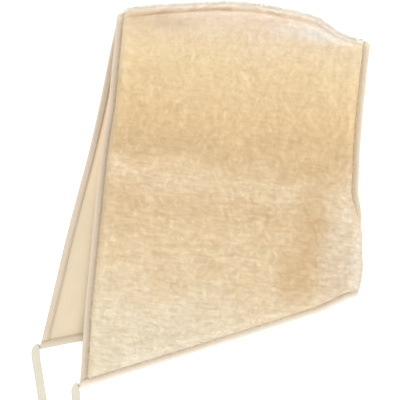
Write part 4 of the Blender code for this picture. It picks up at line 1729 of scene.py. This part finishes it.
@dataclass
class EdgeTape:
    """The tape folded round one edge, puckered by its stitches.

    Attributes:
        shape: The rule of the pad's places.
        edge: Which edge it binds.
        material: The tape's material.
        spacing: Distance between its rings.
        nose_steps: Squares round the tape's nose.
        pucker: How far the stitches pull its faces in and out.
        pucker_length: Distance between puckers.
        wander: How far its two hems wander.
        hem: Where in from the edge its faces start to give, and over what width.
    """

    shape: PadShape
    edge: Edge
    material: bpy.types.Material
    spacing: float = 1.5 * MM
    nose_steps: int = 8
    pucker: float = 0.3 * MM
    pucker_length: float = 5.2 * MM
    wander: float = 0.05 * MM
    hem: tuple[float, float] = (0.5 * MM, 3.0 * MM)

    def places(self, inset: Grid | float) -> tuple[Grid, Grid, Grid]:
        """Gives the places of a line that runs along the edge.

        Args:
            inset: Distances in from the edge, as columns of lines.

        Returns:
            u and q of each ring and line, and each ring's distance along the edge.
        """
        shape = self.shape
        inset = np.atleast_1d(np.asarray(inset, float))[None, :]
        far = self.edge in (Edge.SHORT_SIDE, Edge.UPPER_END)
        if self.edge.is_side:
            border = np.array(1.0 if far else 0.0)
            first, last = (float(shape.along(shape.wool_inset, border, upper)) for upper in (False, True))
        else:
            border = np.array(2.0 if far else -1.0)
            first, last = (float(shape.across(-shape.nose_reach, border, right)) for right in (False, True))
        line = np.linspace(first, last, 2400 if self.edge.is_side else 1200)
        held = np.full_like(line, float(border))
        u, q = (held, line) if self.edge.is_side else (line, held)
        way = walked(shape.at(u, q, np.zeros_like(u)))
        even = np.linspace(0.0, way[-1], int(way[-1] / self.spacing) + 1)
        line = np.interp(even, way, line)[:, None]
        if self.edge.is_side:
            u, q = shape.across(inset, line, far), line
        else:
            u, q = line, shape.along(inset, line, far)
        return *np.broadcast_arrays(u, q), even

    def section(self) -> tuple[Grid, Grid, Grid]:
        """Gives the folded tape's closed section: insets, n, and the places across the tape.

        Returns:
            The insets, n and places.
        """
        shape = self.shape
        turn = np.linspace(0.5 * math.pi, 1.5 * math.pi, self.nose_steps + 1)
        arms = np.array((1.0, 0.82, 0.6, 0.35)) * (shape.tape_cover - shape.tape_turn) + shape.tape_turn
        parts = []
        for radius in (shape.tape_inner_half + shape.tape, shape.tape_inner_half):
            inset = np.concatenate((arms, shape.tape_turn + radius * np.cos(turn), arms[::-1]))
            high = np.full(len(arms), radius)
            n = shape.tape_middle + np.concatenate((high, radius * np.sin(turn), -high))
            parts.append((inset, n))
        (outer, outer_n), (inner, inner_n) = parts
        inset = np.concatenate((outer, inner[::-1]))
        n = np.concatenate((outer_n, inner_n[::-1]))
        across = walked(np.stack((outer, outer_n), -1))
        return inset, n, np.concatenate((across, across[::-1]))

    def build(self) -> list[Piece]:
        """Makes the tape.

        Returns:
            The pieces.
        """
        inset, n, across = self.section()
        u, q, way = self.places(inset)
        phase = way[:, None] * (2.0 * math.pi / self.pucker_length)
        beat = np.sin(phase + 1.7 * np.sin(phase * 0.31)) * (0.6 + 0.4 * np.sin(phase * 0.13 + 1.0))
        hem = np.clip((inset - self.hem[0]) / self.hem[1], 0.0, 1.0)[None, :]
        side = np.sign(n - self.shape.tape_middle)[None, :]
        lift = self.pucker * beat * hem * side * np.where(side > 0.0, 1.0, 0.3)
        shift = -self.wander * (0.5 + 0.5 * np.sin(phase * 0.77 + 0.6)) * (hem**3)
        if self.edge.is_side:
            u = self.shape.across(inset[None, :] + shift, q, self.edge is Edge.SHORT_SIDE)
        points = self.shape.at(u, q, n[None, :] + lift)
        points[..., 2] = np.maximum(points[..., 2], TABLE_GAP)
        name = self.edge.value.replace("binding", "tape")
        tape = Mesher.clad(Mesher.tube(name, points), across[None, :], way[:, None], self.material)
        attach(tape, BODY)
        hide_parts(self.edge.value)
        return [tape]


@dataclass
class Seam:
    """The lockstitch that holds a tape, on its wool side and on its lining side.

    Attributes:
        tape: The tape that it holds.
        material: The thread's material.
        inset: Distance in from the edge.
        spacing: Distance from one stitch to the next.
        stitch_length: Length of what shows of one.
        thread: The thread's thickness, drawn thicker than it is so that it shows.
        sink: How far it is pressed into the tape.
    """

    tape: EdgeTape
    material: bpy.types.Material
    inset: float = 2.9 * MM
    spacing: float = 3.0 * MM
    stitch_length: float = 2.3 * MM
    thread: float = 0.4 * MM
    sink: float = 0.02 * MM

    def tree(self) -> Tree:
        """Builds the tree that lays stitches along a line.

        Returns:
            The tree.
        """
        tree, given = new_tree(
            "lockstitch",
            {
                "Spacing": self.spacing,
                "Stitch Length": self.stitch_length,
                "Thread": self.thread,
                "Material": None,
            },
        )
        add = partial(wire, tree)
        line = add("GeometryNodeMeshToCurve", given["Geometry"])
        named = {"Curve": line, "Length": given["Spacing"]}
        spots = add("GeometryNodeCurveToPoints", mode="LENGTH", named=named, out="Points")
        ball = add("GeometryNodeMeshUVSphere", named={"Segments": 5, "Rings": 3, "Radius": 0.5})
        size = add("ShaderNodeCombineXYZ", given["Thread"], given["Thread"], given["Stitch Length"])
        stitch = add("GeometryNodeTransform", ball, named={"Scale": size})
        named = {"Points": spots, "Instance": stitch, "Rotation": spots.node.outputs["Rotation"]}
        end_tree(tree, add("GeometryNodeInstanceOnPoints", named=named), given["Material"])
        return tree

    def build(self) -> list[Piece]:
        """Makes the stitches of both sides as one piece.

        Returns:
            The pieces.
        """
        shape = self.tape.shape
        u, q, _ = self.tape.places(self.inset)
        u, q = u[1:-1], q[1:-1]
        radius = shape.tape_inner_half + shape.tape + self.thread / 2 - self.sink
        lines, edges = [], []
        for side in (1.0, -1.0):
            points = shape.at(u, q, np.full(u.shape, shape.tape_middle + side * radius))[:, 0]
            start = len(lines)
            lines += points.tolist()
            edges += [(start + at, start + at + 1) for at in range(len(points) - 1)]
        mesh = bpy.data.meshes.new("seam_line")
        mesh.from_pydata(lines, edges, [])
        line = Mesher.link("seam_line", mesh)
        name = self.tape.edge.value.replace("binding", "stitches")
        stitches = Mesher.grown(line, self.tree(), {"Material": self.material}, name)
        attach(stitches, BODY)
        bpy.data.objects.remove(line, do_unlink=True)
        return [stitches]


@dataclass
class StrapLoop:
    """The flat strap from the lower panel's long corner to the upper one's, lying on the table.

    Attributes:
        shape: The rule of the pad's places.
        material: The strap's material.
        width: Its width.
        thickness: Its thickness.
        gathered: Its width where it is gathered into the seam.
        gather_length: Length over which that eases.
        lead: How far it runs straight out of its corner.
        landing: Length over which it comes down to the table.
        length: Its length along its middle line.
        rings: Rings of points along it.
        steps: Steps between two points of its route.
        turns: Shares of its length where it starts to stand on edge, does, stops and lies flat again.
        section: Half its section, as shares of its width and of its thickness.
        route: Plan points that it passes, in the strip's own coordinates.
    """

    shape: PadShape
    material: bpy.types.Material
    width: float = 7.0 * MM
    thickness: float = 1.0 * MM
    gathered: float = 4.4 * MM
    gather_length: float = 9.0 * MM
    lead: float = 1.5 * MM
    landing: float = 14.0 * MM
    length: float = 168.7 * MM
    rings: int = 120
    steps: int = 24
    turns: tuple[float, float, float, float] = (0.32, 0.44, 0.60, 0.74)
    section: tuple[tuple[float, float], ...] = (
        (-0.5, 0.25),
        (-0.47, 0.5),
        (-0.3, 0.5),
        (-0.1, 0.46),
        (0.1, 0.46),
        (0.3, 0.5),
        (0.47, 0.5),
        (0.5, 0.25),
    )
    route: tuple[tuple[float, float], ...] = (
        (-37.0 * MM, -273.3 * MM),
        (-36.7 * MM, -277.4 * MM),
        (-35.1 * MM, -284.5 * MM),
        (-31.7 * MM, -296.0 * MM),
        (-26.9 * MM, -314.0 * MM),
        (-21.9 * MM, -333.0 * MM),
        (-17.6 * MM, -349.0 * MM),
        (-12.5 * MM, -359.0 * MM),
        (-6.4 * MM, -361.5 * MM),
        (-1.6 * MM, -356.0 * MM),
        (0.2 * MM, -345.0 * MM),
        (1.0 * MM, -330.0 * MM),
        (0.9 * MM, -315.0 * MM),
        (-0.1 * MM, -306.5 * MM),
        (-1.1 * MM, -302.1 * MM),
    )

    def leave(self, upper: bool) -> tuple[Grid, Grid, Grid]:
        """Gives where the strap leaves a long corner, its way out and its width's way.

        Args:
            upper: Whether the corner is the upper panel's.

        Returns:
            The place, and the two ways as plan vectors.
        """
        shape = self.shape
        panel = shape.upper if upper else shape.lower
        end = np.array(2.0 if upper else -1.0)
        inset = (shape.tape_cover - shape.nose_reach) / 2
        u = shape.across(-shape.nose_reach - shape.clearance, end, False)
        q = shape.along(inset, u, upper)
        middle = shape.face(u, q) + shape.normal(u, q) * shape.tape_middle
        left = panel.corner(shape.fold_width, False)
        return middle, unit(left - panel.corner(shape.fold_width, True)), unit(left)

    def spread(self) -> Grid:
        """Gives plan points evenly spread along the route's smooth curve.

        Returns:
            The points.
        """
        start, start_out, _ = self.leave(False)
        finish, finish_out, _ = self.leave(True)
        first, last = start[:2], finish[:2]
        leads = first + start_out * self.lead, last + finish_out * self.lead
        points = np.array([first, leads[0], *self.route, leads[1], last])
        points = np.concatenate(([2 * points[0] - points[1]], points, [2 * points[-1] - points[-2]]))
        curve = []
        for before, a, b, after in zip(points, points[1:], points[2:], points[3:]):
            for step in range(self.steps):
                x = step / self.steps
                bend = 2 * before - 5 * a + 4 * b - after
                twist = 3 * (a - b) + after - before
                curve.append(a + (x * (b - before) + x * x * bend + x**3 * twist) / 2)
        curve = np.array([*curve, points[-2]])
        way = walked(curve)
        even = np.linspace(0.0, way[-1], self.rings + 1)
        return np.stack([np.interp(even, way, curve[:, axis]) for axis in (0, 1)], -1)

    def build(self) -> list[Piece]:
        """Returns:
            The pieces.
        """
        plan = self.spread()
        share = np.linspace(0.0, 1.0, self.rings + 1)
        start, _, start_side = self.leave(False)
        finish, _, finish_side = self.leave(True)
        padded = np.concatenate((plan[:1], plan, plan[-1:]))
        heading = unit(padded[2:] - padded[:-2])
        aside = np.stack((-heading[:, 1], heading[:, 0]), -1)
        aside[0], aside[-1] = -start_side, finish_side
        first, full, until, flat = self.turns
        on_edge = smooth_step((share - first) / (full - first))
        on_edge = on_edge * (1.0 - smooth_step((share - until) / (flat - until)))
        angle = on_edge * math.pi / 2
        up = np.array((0.0, 0.0, 1.0))
        aside = np.concatenate((aside, np.zeros((len(aside), 1))), -1)
        wide = aside * np.cos(angle)[:, None] + up * np.sin(angle)[:, None]
        thick = -aside * np.sin(angle)[:, None] + up * np.cos(angle)[:, None]
        from_end = np.minimum(share, 1.0 - share) * self.length
        width = self.gathered + (self.width - self.gathered) * smooth_step(from_end / self.gather_length)
        lying = (width * np.sin(angle) + self.thickness * np.cos(angle)) / 2 + self.shape.floor_gap
        seat = np.where(share < 0.5, start[2], finish[2])
        height = lying + (seat - lying) * (1.0 - smooth_step(from_end / self.landing))
        middle = np.concatenate((plan, height[:, None]), -1) - np.array((*self.shape.origin, 0.0))

        across, crown = np.array(self.section).T
        across = np.concatenate((across, across[::-1]))
        crown = np.concatenate((crown, -crown[::-1])) * self.thickness
        ring = zip(across, crown)
        points = np.stack([middle + wide * (a * width)[:, None] + thick * c for a, c in ring], 1)
        way = (share * self.length)[:, None]
        strap = Mesher.clad(Mesher.tube("strap", points), across[None, :] * self.width, way, self.material)
        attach(strap, BODY)
        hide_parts("strap_loop")
        return [strap]


@dataclass(frozen=True)
class Lamp:
    """A square lamp with its size in metres and its power in watts, turned to the pad."""

    name: str
    place: tuple[float, float, float]
    size: float
    power: float


@dataclass
class Studio:
    """A white table seen from straight above, in a light tent with bright sides and three lamps."""

    view_width: float = 328.0 * MM
    lens: float = 500.0
    sensor: float = 36.0
    roll: float = math.radians(6.56)
    look_at: tuple[float, float] = (-10.5 * MM, 0.0)
    plane: float = 8.0 * MM
    sky_top: float = 0.5
    sky_side: float = 1.7
    table_half: float = 2.5
    table_glow: float = 0.42
    lamps: tuple[Lamp, ...] = (
        Lamp("lamp_above", (-0.4, 0.2, 1.37), 0.9, 5.9),
        Lamp("lamp_beyond", (0.6, 1.4, 0.36), 1.1, 11.0),
        Lamp("lamp_before", (0.5, -1.3, 0.42), 1.1, 7.0),
    )

    def camera(self) -> None:
        """Makes the camera above the pad."""
        data = bpy.data.cameras.new("camera")
        data.lens = self.lens
        data.sensor_width = self.sensor
        camera = Mesher.link("camera", data)
        camera.location = (*self.look_at, self.plane + self.view_width * self.lens / self.sensor)
        camera.rotation_euler = (0.0, 0.0, self.roll)
        bpy.context.scene.camera = camera

    def table(self) -> None:
        """Makes the white table, which keeps the pad's faint shadow."""
        half = self.table_half
        mesh = bpy.data.meshes.new("table")
        corners = [(-half, -half, 0.0), (half, -half, 0.0), (half, half, 0.0), (-half, half, 0.0)]
        mesh.from_pydata(corners, [], [(0, 1, 2, 3)])
        material, tree, _ = new_material("white_table")
        add = partial(wire, tree)
        tree.nodes.clear()
        matt = add("ShaderNodeBsdfDiffuse", linear("#E8E8E8"))
        glow = add("ShaderNodeEmission", (1.0, 1.0, 1.0, 1.0), self.table_glow)
        bright = add("ShaderNodeAddShader", matt, glow)
        seen = add("ShaderNodeLightPath", out="Is Camera Ray")
        mixed = add("ShaderNodeMixShader", seen, matt, bright)
        tree.links.new(mixed, tree.nodes.new("ShaderNodeOutputMaterial").inputs["Surface"])
        mesh.materials.append(material)
        Mesher.link("table", mesh)

    def light(self) -> None:
        """Makes the sky and the lamps."""
        world = bpy.data.worlds.new("sky")
        bpy.context.scene.world = world
        world.use_nodes = True
        tree = world.node_tree
        add = partial(wire, tree)
        tree.nodes.clear()
        aim = add("ShaderNodeTexCoord", out="Generated")
        height = add("ShaderNodeSeparateXYZ", aim, out="Z")
        level = add(MAP_RANGE, height, 0.0, 1.0, self.sky_side, self.sky_top)
        sky = add("ShaderNodeBackground", linear("#FFFDF9"), level)
        white = add("ShaderNodeBackground", (1.0, 1.0, 1.0, 1.0), 1.0)
        seen = add("ShaderNodeLightPath", out="Is Camera Ray")
        mixed = add("ShaderNodeMixShader", seen, sky, white)
        tree.links.new(mixed, tree.nodes.new("ShaderNodeOutputWorld").inputs["Surface"])
        for lamp in self.lamps:
            data = bpy.data.lights.new(lamp.name, "AREA")
            data.energy = lamp.power
            data.size = lamp.size
            body = Mesher.link(lamp.name, data)
            body.location = lamp.place
            body.rotation_euler = (-Vector(lamp.place)).to_track_quat("-Z", "Y").to_euler()

    def build(self) -> None:
        """Makes the camera, the table and the light."""
        self.camera()
        self.table()
        self.light()
        bpy.context.scene.view_settings.view_transform = "Standard"


def main() -> None:
    """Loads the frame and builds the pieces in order."""
    logging.basicConfig(level=logging.INFO, format="%(name)s: %(message)s")
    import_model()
    Studio().build()
    shape = PadShape()
    tape, lit_tape = TAPE_FINISH.build(), LIT_TAPE_FINISH.build()
    thread = THREAD_FINISH.build()
    pieces = StrapLoop(shape, STRAP_FINISH.build()).build()
    pieces += Lining(shape, LINING_FINISH.build()).build()
    pieces += Fleece(shape, WoolFinish().build()).build()
    for edge in Edge:
        # The upper end's tape takes the copy with painted light.
        binding = EdgeTape(shape, edge, lit_tape if edge is Edge.UPPER_END else tape)
        pieces += binding.build()
        pieces += Seam(binding, thread).build()
    for piece in pieces:
        triangles = sum(len(face.vertices) - 2 for face in piece.data.polygons)
        log.info("%s has %d triangles", piece.name, triangles)


if __name__ == "__main__":
    main()
